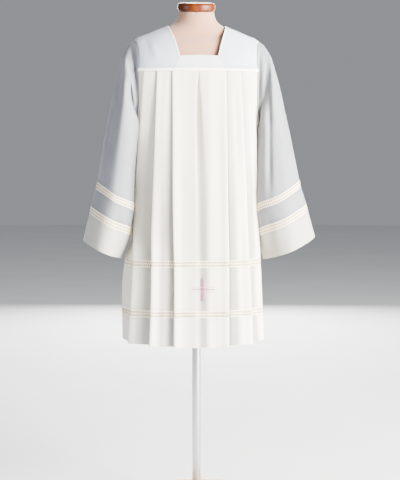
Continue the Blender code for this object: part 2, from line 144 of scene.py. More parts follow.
def ramp(tree, factor, stops):
    """Colours along a factor, as (place, colour) stops."""
    made = add_node(tree, "ShaderNodeValToRGB", None, {"Fac": factor})
    band = made.color_ramp
    while len(band.elements) < len(stops):
        band.elements.new(0.5)
    for element, (place, colour) in zip(band.elements, stops):
        element.position = place
        element.color = (*colour, 1)
    return made.outputs["Color"]


def blend_colours(tree, factor, first, second):
    made = add_node(tree, "ShaderNodeMix", {"data_type": "RGBA"}, {0: factor})
    for socket, value in ((made.inputs[6], first), (made.inputs[7], second)):
        if isinstance(value, bpy.types.NodeSocket):
            tree.links.new(value, socket)
        else:
            socket.default_value = (*value, 1)
    return made.outputs[2]


def bump(tree, height, distance, strength, normal=None):
    inputs = {"Height": height, "Distance": distance, "Strength": strength}
    if normal is not None:
        inputs["Normal"] = normal
    return add_node(tree, "ShaderNodeBump", None, inputs).outputs["Normal"]


def finish(name, constants):
    """A new material with the constants set on its shader."""
    made = bpy.data.materials.new(name)
    made.use_nodes = True
    shader = made.node_tree.nodes["Principled BSDF"]
    for socket, value in constants.items():
        shader.inputs[socket].default_value = value
    return made, made.node_tree, shader


# %% [markdown]
# ### White cloth
# The cloth is a fine plain weave with a soft sheen. Its threads are 0.4 mm apart, so from a distance they only
# soften the light, and close by they show. Broad noise gives the slight unevenness of washed cotton, and noise
# that is stretched along the threads gives their thicker places. Shade is painted into the skirt: its mesh
# carries an attribute that greys the cloth where a pleat hangs in one layer, with a darker line beside each fold
# on the right half, and not where three layers lie over each other. The sleeves' finishes are far darker and the
# yoke's greyer and bluer than the skirt's: painted shade and, on the yoke, a painted cool reflection. A second UV
# map says how far a point is from the nearest openwork, and two rows of needle marks run 5 and 10 mm from it.

# %% Cloth finishes
THREAD = 0.0004
NEEDLE_PITCH = 0.0077
NEEDLE_ROW = 0.0047
NEEDLE_ROWS_END = 0.0118
NEEDLE_RADIUS = 0.0012
# The colour that the skirt's painted shade blends to, as a share of the light tone.
PAINTED_SHADE_TONE = (0.28, 0.28, 0.285)


def weave_height(tree, along, across):
    """Threads that pass over and under each other."""
    warp = maths(tree, "SINE", maths(tree, "MULTIPLY", along, 2 * math.pi / THREAD))
    weft = maths(tree, "SINE", maths(tree, "MULTIPLY", across, 2 * math.pi / THREAD))
    return maths(tree, "MULTIPLY", warp, weft)


def uv_axes(tree, uv_name):
    uv = add_node(tree, "ShaderNodeUVMap", {"uv_map": uv_name}).outputs["UV"]
    split = add_node(tree, "ShaderNodeSeparateXYZ", None, {0: uv})
    return uv, split.outputs[0], split.outputs[1]


def cloth_finish(name, light, shade, needle_marks=True):
    """White cloth: two near tones, thread noise, weave and needle marks."""
    made, tree, shader = finish(
        name, {"Sheen Weight": 0.18, "Sheen Roughness": 0.45, "Specular IOR Level": 0.25}
    )
    uv, along, across = uv_axes(tree, "cloth")
    stretched = add_node(tree, "ShaderNodeMapping", None, {"Vector": uv, "Scale": (900.0, 45.0, 1.0)}).outputs[0]
    slub = noise(tree, stretched, 1.0, 3.0)
    broad = noise(tree, uv, 7.0, 3.0)
    tone = maths(tree, "ADD", maths(tree, "MULTIPLY", broad, 0.7), maths(tree, "MULTIPLY", slub, 0.3))
    colour = ramp(tree, tone, ((0.35, shade), (0.62, light)))
    # Painted shade: the skirt's attribute greys the cloth where a pleat hangs in one layer and beside each fold.
    shade_amount = add_node(tree, "ShaderNodeAttribute", {"attribute_name": "painted_pleat_shade"}).outputs["Fac"]
    painted_shade_colour = tuple(value * part for value, part in zip(light, PAINTED_SHADE_TONE))
    colour = blend_colours(tree, shade_amount, colour, painted_shade_colour)
    height = maths(tree, "ADD", maths(tree, "MULTIPLY", weave_height(tree, along, across), 0.5), slub)
    normal = bump(tree, height, 0.00012, 0.35)
    if needle_marks:
        _, mark_along, from_tape = uv_axes(tree, "tape_distance")
        row = maths(tree, "ROUND", maths(tree, "DIVIDE", from_tape, NEEDLE_ROW))
        along_pitches = maths(tree, "DIVIDE", mark_along, NEEDLE_PITCH)
        shifted = maths(tree, "ADD", along_pitches, maths(tree, "MULTIPLY", row, 0.5))
        step = maths(tree, "SUBTRACT", maths(tree, "FRACT", shifted), 0.5)
        sideways = maths(tree, "MULTIPLY", step, NEEDLE_PITCH)
        row_place = maths(tree, "MULTIPLY", maths(tree, "MAXIMUM", row, 1.0), NEEDLE_ROW)
        away = maths(tree, "SUBTRACT", from_tape, row_place)
        squares = maths(tree, "ADD", maths(tree, "MULTIPLY", sideways, sideways), maths(tree, "MULTIPLY", away, away))
        distance = maths(tree, "SQRT", squares)
        mark = add_node(
            tree, "ShaderNodeMapRange", {"clamp": True},
            {
                "Value": distance, "From Min": NEEDLE_RADIUS, "From Max": NEEDLE_RADIUS * 0.5,
                "To Min": 0.0, "To Max": 1.0,
            },
        ).outputs[0]
        mark = maths(tree, "MULTIPLY", mark, maths(tree, "LESS_THAN", from_tape, NEEDLE_ROWS_END))
        colour = blend_colours(tree, mark, colour, tuple(0.45 * value for value in shade))
        normal = bump(tree, maths(tree, "SUBTRACT", 1.0, mark), 0.0004, 0.6, normal)
    tree.links.new(colour, shader.inputs["Base Color"])
    rough = maths(tree, "ADD", 0.58, maths(tree, "MULTIPLY", broad, 0.16))
    tree.links.new(rough, shader.inputs["Roughness"])
    tree.links.new(normal, shader.inputs["Normal"])
    return made


skirt_cloth = cloth_finish("skirt_cloth", (0.76, 0.715, 0.60), (0.73, 0.68, 0.56))
# Painted shade: the sleeves' colours are far darker than the skirt's, for the dark that shows through the thin
# sleeves and the shade they hang in.
sleeve_cloth = cloth_finish("sleeve_cloth", (0.185, 0.191, 0.205), (0.168, 0.174, 0.187))
# Painted shade and painted cool reflection: the yoke strips are greyer than the skirt, and the shoulder and back
# strips bluer than the front one.
yoke_cloth = cloth_finish("yoke_cloth", (0.44, 0.485, 0.55), (0.42, 0.46, 0.525), False)
collar_cloth = cloth_finish("collar_cloth", (0.55, 0.58, 0.58), (0.525, 0.555, 0.555), False)
edge_cloth = cloth_finish("folded_edge_cloth", (0.92, 0.90, 0.86), (0.89, 0.87, 0.82), False)
doubled_cloth = cloth_finish("doubled_cloth", (0.76, 0.725, 0.65), (0.73, 0.69, 0.61))
# Painted shade: the cuffs are much darker than the skirt's doubled hem.
cuff_cloth = cloth_finish("cuff_cloth", (0.37, 0.355, 0.315), (0.345, 0.33, 0.29))
print("cloth finishes:", 7)

# %% [markdown]
# ### Openwork tape and embroidery thread
# The tape is woven like the cloth, and the edges of its holes are oversewn with a warmer, shiny thread. The mesh
# carries an attribute that is 1 at the hole, about a half on the ridge round it and 0 between the holes, and the
# finish goes through three tones with it: the ground, the thread, and near black at the hole's edge, which is
# painted shade to make the hole look dark.

# %% Tape and thread finishes
def tape_finish(name, ground, thread_colour, hole_shade_colour):
    made, tree, shader = finish(name, {"Sheen Weight": 0.15, "Specular IOR Level": 0.35})
    uv, along, across = uv_axes(tree, "cloth")
    oversewn = add_node(tree, "ShaderNodeAttribute", {"attribute_name": "oversewn"}).outputs["Fac"]
    wind = maths(tree, "SINE", maths(tree, "MULTIPLY", along, 2 * math.pi / 0.0007))
    fuzz = noise(tree, uv, 900.0)
    height = maths(tree, "ADD", maths(tree, "MULTIPLY", wind, oversewn), maths(tree, "MULTIPLY", fuzz, 0.5))
    # Near black from the ridge into the hole: painted shade.
    tones = ramp(tree, oversewn, ((0.05, ground), (0.38, thread_colour), (0.46, thread_colour), (0.62, hole_shade_colour)))
    deeper = tuple(0.7 * value for value in thread_colour)
    shaded = blend_colours(tree, maths(tree, "MULTIPLY", fuzz, 0.35), tones, deeper)
    tree.links.new(shaded, shader.inputs["Base Color"])
    rough = maths(tree, "SUBTRACT", 0.72, maths(tree, "MULTIPLY", oversewn, 0.25))
    tree.links.new(rough, shader.inputs["Roughness"])
    tree.links.new(bump(tree, height, 0.0002, 0.5), shader.inputs["Normal"])
    return made


def thread_finish(name, light, dark, twist):
    """Shiny thread: fine bands of two tones across the way it lies."""
    made, tree, shader = finish(name, {"Roughness": 0.42, "Sheen Weight": 0.2, "Specular IOR Level": 0.5})
    coordinates = add_node(tree, "ShaderNodeTexCoord").outputs["Object"]
    fine = noise(tree, coordinates, twist, 2.0)
    tree.links.new(ramp(tree, fine, ((0.38, dark), (0.60, light))), shader.inputs["Base Color"])
    tree.links.new(bump(tree, fine, 0.0002, 0.5), shader.inputs["Normal"])
    return made


# The last colour, near black, is painted shade at the holes.
openwork_tape = tape_finish("openwork_tape_cloth", (0.92, 0.86, 0.70), (0.86, 0.70, 0.47), (0.018, 0.009, 0.005))
white_thread = thread_finish("white_sewing_thread", (0.92, 0.90, 0.86), (0.80, 0.78, 0.74), 1800.0)
mauve_thread = thread_finish("mauve_embroidery_thread", (0.24, 0.115, 0.16), (0.185, 0.085, 0.12), 1500.0)
rose_thread = thread_finish("rose_embroidery_thread", (0.74, 0.32, 0.40), (0.64, 0.26, 0.33), 1500.0)

# %% [markdown]
# ### Form cover, wood and steel
# The form's cover is a fine knit with ribs 1.2 mm apart. The cap and the base are varnished wood, with growth
# rings that noise bends and short dark pores. The pole is steel, brushed round and round in a lathe.

# %% Form finishes
def knit_finish(name, light, dark):
    made, tree, shader = finish(name, {"Sheen Weight": 0.35, "Sheen Roughness": 0.6, "Specular IOR Level": 0.2})
    coordinates = add_node(tree, "ShaderNodeTexCoord").outputs["Object"]
    split = add_node(tree, "ShaderNodeSeparateXYZ", None, {0: coordinates})
    ribs = maths(tree, "SINE", maths(tree, "MULTIPLY", split.outputs[0], 2 * math.pi / 0.0012))
    loops = maths(tree, "SINE", maths(tree, "MULTIPLY", split.outputs[2], 2 * math.pi / 0.0009))
    broad = noise(tree, coordinates, 11.0, 3.0)
    tree.links.new(ramp(tree, broad, ((0.35, dark), (0.65, light))), shader.inputs["Base Color"])
    tree.links.new(maths(tree, "ADD", 0.74, maths(tree, "MULTIPLY", broad, 0.14)), shader.inputs["Roughness"])
    height = maths(tree, "ADD", ribs, maths(tree, "MULTIPLY", loops, 0.6))
    tree.links.new(bump(tree, height, 0.00012, 0.4), shader.inputs["Normal"])
    return made


def wood_finish(name, light, dark, ring_scale):
    made, tree, shader = finish(name, {"Coat Weight": 0.06, "Coat Roughness": 0.25, "Specular IOR Level": 0.16})
    coordinates = add_node(tree, "ShaderNodeTexCoord").outputs["Object"]
    squeezed = add_node(
        tree, "ShaderNodeMapping", None,
        {"Vector": coordinates, "Location": (0.13, 0.31, 0.0), "Scale": (1.0, 0.22, 1.0)},
    ).outputs[0]
    rings = add_node(
        tree, "ShaderNodeTexWave", {"wave_type": "RINGS", "rings_direction": "Z"},
        {"Vector": squeezed, "Scale": ring_scale, "Distortion": 2.2, "Detail": 3.0, "Detail Scale": 1.6},
    ).outputs["Fac"]
    pores = noise(
        tree,
        add_node(tree, "ShaderNodeMapping", None, {"Vector": coordinates, "Scale": (900.0, 60.0, 900.0)}).outputs[0],
        1.0, 2.0,
    )
    tone = maths(tree, "ADD", maths(tree, "MULTIPLY", rings, 0.6), maths(tree, "MULTIPLY", pores, 0.4))
    tree.links.new(ramp(tree, tone, ((0.15, dark), (0.75, light))), shader.inputs["Base Color"])
    tree.links.new(maths(tree, "ADD", 0.30, maths(tree, "MULTIPLY", pores, 0.18)), shader.inputs["Roughness"])
    tree.links.new(bump(tree, pores, 0.0002, 0.15), shader.inputs["Normal"])
    return made


def brushed_steel_finish(name):
    made, tree, shader = finish(name, {"Base Color": (0.56, 0.56, 0.57, 1), "Metallic": 1.0})
    coordinates = add_node(tree, "ShaderNodeTexCoord").outputs["Object"]
    stretch = {"Vector": coordinates, "Scale": (3.0, 3.0, 2500.0)}
    rounds = add_node(tree, "ShaderNodeMapping", None, stretch).outputs[0]
    lines = noise(tree, rounds, 1.0, 2.0)
    tree.links.new(maths(tree, "ADD", 0.20, maths(tree, "MULTIPLY", lines, 0.22)), shader.inputs["Roughness"])
    tree.links.new(bump(tree, lines, 0.00005, 0.3), shader.inputs["Normal"])
    return made


form_knit = knit_finish("form_knit", (0.37, 0.185, 0.105), (0.345, 0.17, 0.095))
cap_wood = wood_finish("cap_wood", (0.10, 0.019, 0.0015), (0.055, 0.009, 0.0008), 26.0)
base_wood = wood_finish("base_wood", (0.40, 0.22, 0.11), (0.26, 0.13, 0.06), 14.0)
brushed_steel = brushed_steel_finish("brushed_steel")

# %% Floor
def floor_finish(name):
    made, tree, shader = finish(name, {"Roughness": 0.8})
    coordinates = add_node(tree, "ShaderNodeTexCoord").outputs["Object"]
    tone = noise(tree, coordinates, 2.0, 2.0)
    steel = ramp(tree, tone, ((0.3, (0.56, 0.57, 0.58)), (0.7, (0.59, 0.60, 0.61))))
    tree.links.new(steel, shader.inputs["Base Color"])
    return made


bpy.ops.object.select_all(action="DESELECT")
bpy.ops.mesh.primitive_circle_add(vertices=96, radius=16, fill_type="NGON", location=(0, 0, -0.0006))
floor = bpy.context.object
floor.name = "studio_floor"
floor.data.materials.append(floor_finish("studio_floor_paint"))
bpy.ops.object.transform_apply(location=True)

# %% [markdown]
# ## The course of the cloth
# Every cloth piece is a grid of points. For the skirt a row of the grid is the line that the cloth draws round
# the body at one height: it starts in the middle, runs to the edge of a pleat, turns back under it, turns
# forward again and goes on. The rows change slowly from the yoke to the hem, and the grid between them is the
# cloth. This is surer than letting a simulation fall into pleats, and it keeps every pleat where it was pressed.

# %% Sizes of the skirt
SEAM_GAP = 0.0003
HEM_Z = 0.545
LOWER_TAPE_Z = (0.639, 0.661)
UPPER_TAPE_Z = (0.798, 0.820)
UNDERARM_Z = 1.250
YOKE_SEAM_Z = 1.4225
BODY = {
    "z": (0.545, 0.700, 0.810, 0.900, 1.000, 1.150, 1.250, 1.360, 1.4225),
    "left": (0.238, 0.240, 0.231, 0.203, 0.194, 0.196, 0.206, 0.216, 0.225),
    "right": (0.203, 0.201, 0.196, 0.190, 0.187, 0.193, 0.206, 0.216, 0.225),
    "front": (0.158, 0.153, 0.148, 0.142, 0.136, 0.127, 0.120, 0.112, 0.108),
    "back": (0.142, 0.136, 0.130, 0.124, 0.118, 0.110, 0.104, 0.100, 0.098),
}
SQUARENESS = 2.6
FOLD_AT_YOKE = (0.084, 0.131, 0.172)
FOLD_AT_HEM = {"left": (0.080, 0.154, 0.213), "right": (0.084, 0.157, 0.196)}
TUCK_AT_YOKE = (0.052, 0.028, 0.024)
TUCK_AT_HEM = (0.062, 0.038, 0.026)
LAYER_AT_YOKE = 0.0020
LAYER_AT_HEM = 0.0065
WIDEST_FOLD = 0.975
ROLL = {
    "z": (0.545, 0.900, 1.200, 1.350, 1.4225),
    "left": (0.0080, 0.0070, 0.0056, 0.0036, 0.0012),
    "right": (0.0070, 0.0062, 0.0050, 0.0034, 0.0012),
}
ROLL_WIDTH = {"left": (0.016, 0.022), "right": (0.016, 0.010)}
ROLL_BEYOND = {"left": 0.7, "right": 0.0}
RISE = {
    "share": (0.0, 0.10, 0.34, 0.65, 1.0),
    "left": (0.0, 0.03, 0.20, 0.52, 1.0),
    "right": (-0.38, -0.27, 0.42, 0.74, 1.0),
}
RISE_TO_TUCK = 0.70
# Painted shade of the pleats: the width of its edge at each tuck, its strength on each half, a darker line beside
# each fold on the right half, its share on the outer panel, and how it fades towards the yoke.
SHADE_EDGE_WIDTH = {"left": 0.028, "right": 0.012}
PAINTED_SHADE_STRENGTH = {"left": 0.70, "right": 0.80}
FOLD_SHADE_PEAK = {"left": 0.0, "right": 0.20}
FOLD_SHADE_WIDTH = 0.009
SIDE_PAINTED_SHADE = 0.15
PAINTED_SHADE_BY_HEIGHT = {"z": (0.545, 0.900, 1.200, 1.4225), "strength": (1.0, 1.0, 0.55, 0.35)}
HEM_STEP = 0.0032
TROUGH = {
    "z": (0.545, 0.820, 1.060, 1.150, 1.260, 1.360, 1.4225),
    "bottom": (0.002, -0.002, -0.007, -0.010, -0.012, -0.008, -0.003),
    "left": (0.019, 0.016, 0.010, 0.006, 0.004, 0.003, 0.003),
    "right": (0.020, 0.024, 0.030, 0.029, 0.026, 0.013, 0.004),
    "depth": (0.004, 0.004, 0.006, 0.009, 0.012, 0.008, 0.001),
}
TROUGH_REACH = 0.024
CENTRE_STEPS = 12
PANEL_STEPS = 13
TURN_STEPS = 8
UNDER_STEPS = 6
TUCK_STEPS = 8
SIDE_STEPS = 14
CLOSING_PART = 13
ARMHOLE = {
    "z": (1.250, 1.265, 1.295, 1.335, 1.380, 1.4225),
    "side": (0.2078, 0.198, 0.192, 0.1895, 0.1895, 0.190),
}


def read(places, values, at):
    """Values between the rows of a table, on a curve that passes through every row without overshooting."""
    places, values = np.asarray(places, float), np.asarray(values, float)
    steps = np.diff(values) / np.diff(places)
    slopes = np.zeros(len(values))
    rising = steps[:-1] * steps[1:] > 0
    slopes[1:-1][rising] = 2 * steps[:-1][rising] * steps[1:][rising] / (steps[:-1] + steps[1:])[rising]
    slopes[0], slopes[-1] = steps[0], steps[-1]
    at = np.asarray(at, float)
    row = np.clip(np.searchsorted(places, at) - 1, 0, len(steps) - 1)
    span = places[row + 1] - places[row]
    t = (at - places[row]) / span
    return (
        values[row] * (1 + 2 * t) * (1 - t) ** 2
        + slopes[row] * span * t * (1 - t) ** 2
        + values[row + 1] * t * t * (3 - 2 * t)
        - slopes[row + 1] * span * t * t * (1 - t)
    )


def ease(t):
    return t * t * (3 - 2 * t)


# %% [markdown]
# ### Creases
# Hung cloth is never quite even. Soft troughs and ridges are listed one by one: each has a start, an end, a half
# width and a height, which is negative for a trough. They move all layers of a pleat together, so no layer
# cuts another. The front follows what shows, and the back has its own of the same kind.

# %% Creases of the skirt
SKIRT_CREASES = {
    "front": (
        (-0.108, 1.405, -0.122, 1.020, 0.0085, 0.0016),
        (-0.149, 1.400, -0.170, 0.930, 0.0080, -0.0017),
        (-0.055, 1.180, -0.064, 0.700, 0.0160, -0.0018),
        (-0.118, 1.020, -0.136, 0.560, 0.0130, -0.0026),
        (-0.142, 0.900, -0.150, 0.560, 0.0090, 0.0018),
        (-0.190, 0.980, -0.205, 0.600, 0.0140, -0.0024),
        (0.060, 1.300, 0.066, 0.860, 0.0150, -0.0014),
        (0.112, 1.395, 0.121, 1.080, 0.0075, -0.0014),
        (0.152, 1.380, 0.166, 0.980, 0.0080, 0.0016),
        (0.128, 1.000, 0.134, 0.580, 0.0140, -0.0022),
        (0.172, 0.920, 0.178, 0.600, 0.0100, -0.0018),
        (-0.028, 0.800, -0.022, 0.548, 0.0100, 0.0014),
        (0.034, 0.760, 0.040, 0.548, 0.0120, -0.0014),
        (0.006, 0.690, 0.002, 0.548, 0.0080, 0.0016),
    ),
    "back": (
        (-0.104, 1.400, -0.118, 0.980, 0.0090, -0.0016),
        (-0.152, 1.380, -0.168, 0.900, 0.0085, 0.0018),
        (-0.050, 1.240, -0.058, 0.760, 0.0150, -0.0020),
        (-0.124, 0.960, -0.132, 0.560, 0.0130, -0.0026),
        (-0.186, 1.000, -0.204, 0.620, 0.0140, 0.0022),
        (0.056, 1.350, 0.064, 0.820, 0.0160, -0.0019),
        (0.110, 1.380, 0.124, 1.040, 0.0080, 0.0016),
        (0.154, 1.360, 0.170, 0.940, 0.0085, -0.0017),
        (0.122, 0.940, 0.130, 0.560, 0.0130, -0.0024),
        (0.176, 0.880, 0.182, 0.600, 0.0100, 0.0016),
        (-0.020, 0.780, -0.030, 0.548, 0.0110, -0.0015),
        (0.026, 0.820, 0.034, 0.548, 0.0120, 0.0016),
    ),
}
FOLD_WANDER = 0.0011


def crease_lift(creases, x, z):
    """How far the creases move a point of the skirt outwards."""
    lift = np.zeros_like(x)
    for x_top, z_top, x_low, z_low, half, height in creases:
        t = np.clip((z_top - z) / (z_top - z_low), 0, 1)
        centre = x_top + (x_low - x_top) * t
        if z_low > HEM_Z + 0.02:
            fade = ease(min(1.0, t * 3.5)) * ease(min(1.0, (1 - t) * 3.5))
        else:
            fade = ease(min(1.0, t * 3))
        lift += height * fade * np.exp(-(((x - centre) / half) ** 2))
    return lift


# %% Rows of the skirt
def ring_quarter(z, side, face, samples=500):
    """A quarter of the ring that the pleats hang on: points, outward normals and length along it."""
    half, depth = read(BODY["z"], BODY[side], z), read(BODY["z"], BODY[face], z)
    turn = np.linspace(0, math.pi / 2, samples)
    points = np.stack([half * np.sin(turn) ** (2 / SQUARENESS), depth * np.cos(turn).clip(0) ** (2 / SQUARENESS)], 1)
    along = np.concatenate([[0], np.cumsum(np.linalg.norm(np.diff(points, axis=0), axis=1))])
    tangent = np.gradient(points, along, axis=0)
    normal = np.stack([-tangent[:, 1], tangent[:, 0]], axis=1)
    return points, normal / np.linalg.norm(normal, axis=1)[:, None], along


def layer_pitch(z):
    share = (YOKE_SEAM_Z - z) / (YOKE_SEAM_Z - HEM_Z)
    return LAYER_AT_YOKE + (LAYER_AT_HEM - LAYER_AT_YOKE) * share


def ring_depth(x, half, depth):
    return depth * np.clip(1 - (np.abs(x) / half) ** SQUARENESS, 0, None) ** (1 / SQUARENESS)


def row_end(z, side, face):
    """Where a row ends: on the armhole above the underarm, at the side seam below it."""
    half = read(BODY["z"], BODY[side], z) + layer_pitch(z)
    depth = read(BODY["z"], BODY[face], z) + layer_pitch(z)
    if z <= UNDERARM_Z:
        return np.array([half, SEAM_GAP / 2])
    at = float(read(ARMHOLE["z"], ARMHOLE["side"], z))
    return np.array([at, max(float(ring_depth(at, half, depth)), SEAM_GAP / 2)])


def trough_shape(z, x):
    """How deep the middle trough is at a point: its left wall is steep and its right one long."""
    bottom, left, right, depth = (read(TROUGH["z"], TROUGH[key], z) for key in ("bottom", "left", "right", "depth"))
    away = np.where(x < bottom, (bottom - x) / left, (x - bottom) / right)
    return depth * (1 + np.cos(math.pi * np.clip(away, 0, 1))) / 2


def pleat_course(z, side, face, points, along, end_length):
    """The cloth's course from the middle out, as lengths along the ring and heights off it.

    It also gives the number of the pleat, and how much painted shade each point gets: most where the cloth hangs in
    one layer, with a darker line beside each fold on the right half. Each fold rolls outwards.
    """
    share = (YOKE_SEAM_Z - z) / (YOKE_SEAM_Z - HEM_Z)
    pitch = layer_pitch(z)
    top = 2 * pitch
    reach, toward = TROUGH_REACH, -1 if side == "left" else 1
    half_turn = np.linspace(0, math.pi, TURN_STEPS, endpoint=False)
    counts = (UNDER_STEPS, TUCK_STEPS, PANEL_STEPS, CENTRE_STEPS)
    few, some, many, close = (np.linspace(0, 1, count, endpoint=False) for count in counts)
    lengths, heights = [reach * close], [top - trough_shape(z, toward * reach * close)]
    numbers, folds, tucks = [0 * close], [], []
    fold = 0.0
    for k in range(3):
        before = fold
        fold_x = FOLD_AT_YOKE[k] + (FOLD_AT_HEM[side][k] - FOLD_AT_YOKE[k]) * share
        phase = k * 2.1 + (0.7 if side == "left" else 3.4) + (1.3 if face == "back" else 0)
        fold_x += FOLD_WANDER * share * math.sin(z * 13.0 + phase)
        fold = float(np.interp(min(fold_x, WIDEST_FOLD * points[-1, 0]), points[:, 0], along))
        tuck = fold - (TUCK_AT_YOKE[k] + (TUCK_AT_HEM[k] - TUCK_AT_YOKE[k]) * share)
        folds.append(fold)
        tucks.append(tuck)
        if k == 0:
            lengths.append(reach + (fold - reach) * many)
            heights.append(np.full(len(many), top))
            numbers.append(0 * many)
        else:
            lengths += [before + (tuck - before) * many, tuck + (fold - tuck) * some]
            rise = read(RISE["share"], RISE[side], many)
            heights += [top * RISE_TO_TUCK * rise, top * (RISE_TO_TUCK + (1 - RISE_TO_TUCK) * some)]
            numbers += [0 * many + k, 0 * some + k]
        lengths += [
            fold + pitch / 2 * np.sin(half_turn),
            fold + (tuck - fold) * few,
            tuck - pitch / 2 * np.sin(half_turn),
            tuck + (fold - tuck) * few,
        ]
        heights += [
            1.5 * pitch + pitch / 2 * np.cos(half_turn),
            np.full(len(few), pitch),
            0.5 * pitch + pitch / 2 * np.cos(half_turn),
            np.zeros(len(few)),
        ]
        numbers += [0 * half_turn + k, k + few / 2, 0 * half_turn + k + 0.5, k + 0.5 + few / 2]
    last = np.linspace(0, 1, SIDE_STEPS)
    lengths.append(fold + (end_length - fold) * last)
    heights.append(pitch * ease(last))
    numbers.append(0 * last + 3)
    lengths, heights, numbers = np.concatenate(lengths), np.concatenate(heights), np.concatenate(numbers)
    # Painted shade: how much each point is greyed, strongest in a pleat's one-layer part and beside each fold.
    painted_pleat_shade = np.where(numbers >= 3, SIDE_PAINTED_SHADE, 1.0)
    for k, (fold, tuck) in enumerate(zip(folds, tucks)):
        away = lengths - fold
        widths = np.where(away < 0, *ROLL_WIDTH[side])
        beyond = np.clip((numbers - k - 0.5) * 2, 0, 1) * (1 - ROLL_BEYOND[side])
        heights = heights + float(read(ROLL["z"], ROLL[side], z)) * (1 - beyond) * np.exp(-((away / widths) ** 2))
        layered = ease(np.clip((lengths - tuck) / SHADE_EDGE_WIDTH[side] / 2 + 0.5, 0, 1))
        shade_amount = PAINTED_SHADE_STRENGTH[side] * (1 - layered)
        if k > 0:
            shade_amount = shade_amount + FOLD_SHADE_PEAK[side] * np.exp(-(((lengths - folds[k - 1]) / FOLD_SHADE_WIDTH) ** 2))
        painted_pleat_shade = np.where((numbers >= k) & (numbers < k + 1), shade_amount, painted_pleat_shade)
    return lengths, heights, numbers, painted_pleat_shade * float(read(PAINTED_SHADE_BY_HEIGHT["z"], PAINTED_SHADE_BY_HEIGHT["strength"], z))


def half_row(z, side, face):
    points, normal, along = ring_quarter(z, side, face)
    end = row_end(z, side, face)
    end_length = float(np.interp(end[0], points[:, 0], along))
    lengths, heights, numbers, painted_pleat_shade = pleat_course(z, side, face, points, along, end_length)
    at = np.stack([np.interp(lengths, along, points[:, axis]) for axis in (0, 1)], 1)
    out = np.stack([np.interp(lengths, along, normal[:, axis]) for axis in (0, 1)], 1)
    out /= np.linalg.norm(out, axis=1)[:, None]
    signed = -at[:, 0] if side == "left" else at[:, 0]
    row = at + (heights + crease_lift(SKIRT_CREASES[face], signed, z))[:, None] * out
    closing = ease(np.clip(np.linspace(-len(row) / CLOSING_PART + 1, 1, len(row)), 0, 1))
    row = row + closing[:, None] * (end - row[-1])
    to_hem = float(np.clip((LOWER_TAPE_Z[0] - z) / (LOWER_TAPE_Z[0] - HEM_Z), 0, 1))
    return np.column_stack([row, z + HEM_STEP * ease(to_hem) * numbers, painted_pleat_shade])


def skirt_row(z, face):
    """A row of the front or back from one side seam to the other, so that the cloth's outer side faces out.

    Each point is its place and how much painted shade the cloth gets there.
    """
    forward = -1 if face == "front" else 1
    left, right = half_row(z, "left", face), half_row(z, "right", face)
    left[:, 0] *= -1
    middle = (left[:1] + right[:1]) / 2
    row = np.concatenate([left[:0:-1], middle, right[1:]])
    row[:, 1] *= forward
    return row if face == "front" else row[::-1]


print("points in a row:", len(skirt_row(1.0, "front")))

# %% [markdown]
# ### From a grid to cloth
# A grid becomes a mesh of quads with two UV maps. Solidify gives the cloth its thickness, Bevel rounds its cut
# edges, and shading by angle keeps the folds smooth and the edges crisp.

# %% Make cloth
def lengths_along(grid, axis):
    """Length along the rows (axis 1) or columns (axis 0) of a grid, from 0."""
    steps = np.linalg.norm(np.diff(grid, axis=axis), axis=2)
    start = np.zeros((grid.shape[0], 1)) if axis == 1 else np.zeros((1, grid.shape[1]))
    return np.concatenate([start, np.cumsum(steps, axis=axis)], axis=axis)


def set_uv(mesh, name, corners):
    mesh.uv_layers.new(name=name).data.foreach_set("uv", np.asarray(corners, np.float32).ravel())


def select_only(piece):
    bpy.ops.object.select_all(action="DESELECT")
    piece.select_set(True)
    bpy.context.view_layer.objects.active = piece


def thicken(piece, thickness, rounding=0.0):
    """Gives a sheet its wall, rounds its rim and shades it smooth up to its edges."""
    select_only(piece)
    bpy.ops.object.modifier_add(type="SOLIDIFY")
    wall = piece.modifiers[-1]
    wall.thickness, wall.offset = thickness, 0.0
    bpy.ops.object.modifier_apply(modifier=wall.name)
    if rounding:
        bpy.ops.object.modifier_add(type="BEVEL")
        rim = piece.modifiers[-1]
        rim.width, rim.segments, rim.limit_method, rim.angle_limit = rounding, 2, "ANGLE", math.radians(62)
        bpy.ops.object.modifier_apply(modifier=rim.name)
    bpy.ops.object.shade_smooth_by_angle(angle=math.radians(55))


def new_piece(name, vertices, faces, material):
    mesh = bpy.data.meshes.new(name)
    mesh.from_pydata([tuple(v) for v in vertices], [], faces)
    mesh.materials.append(material)
    piece = bpy.data.objects.new(name, mesh)
    bpy.context.scene.collection.objects.link(piece)
    return piece


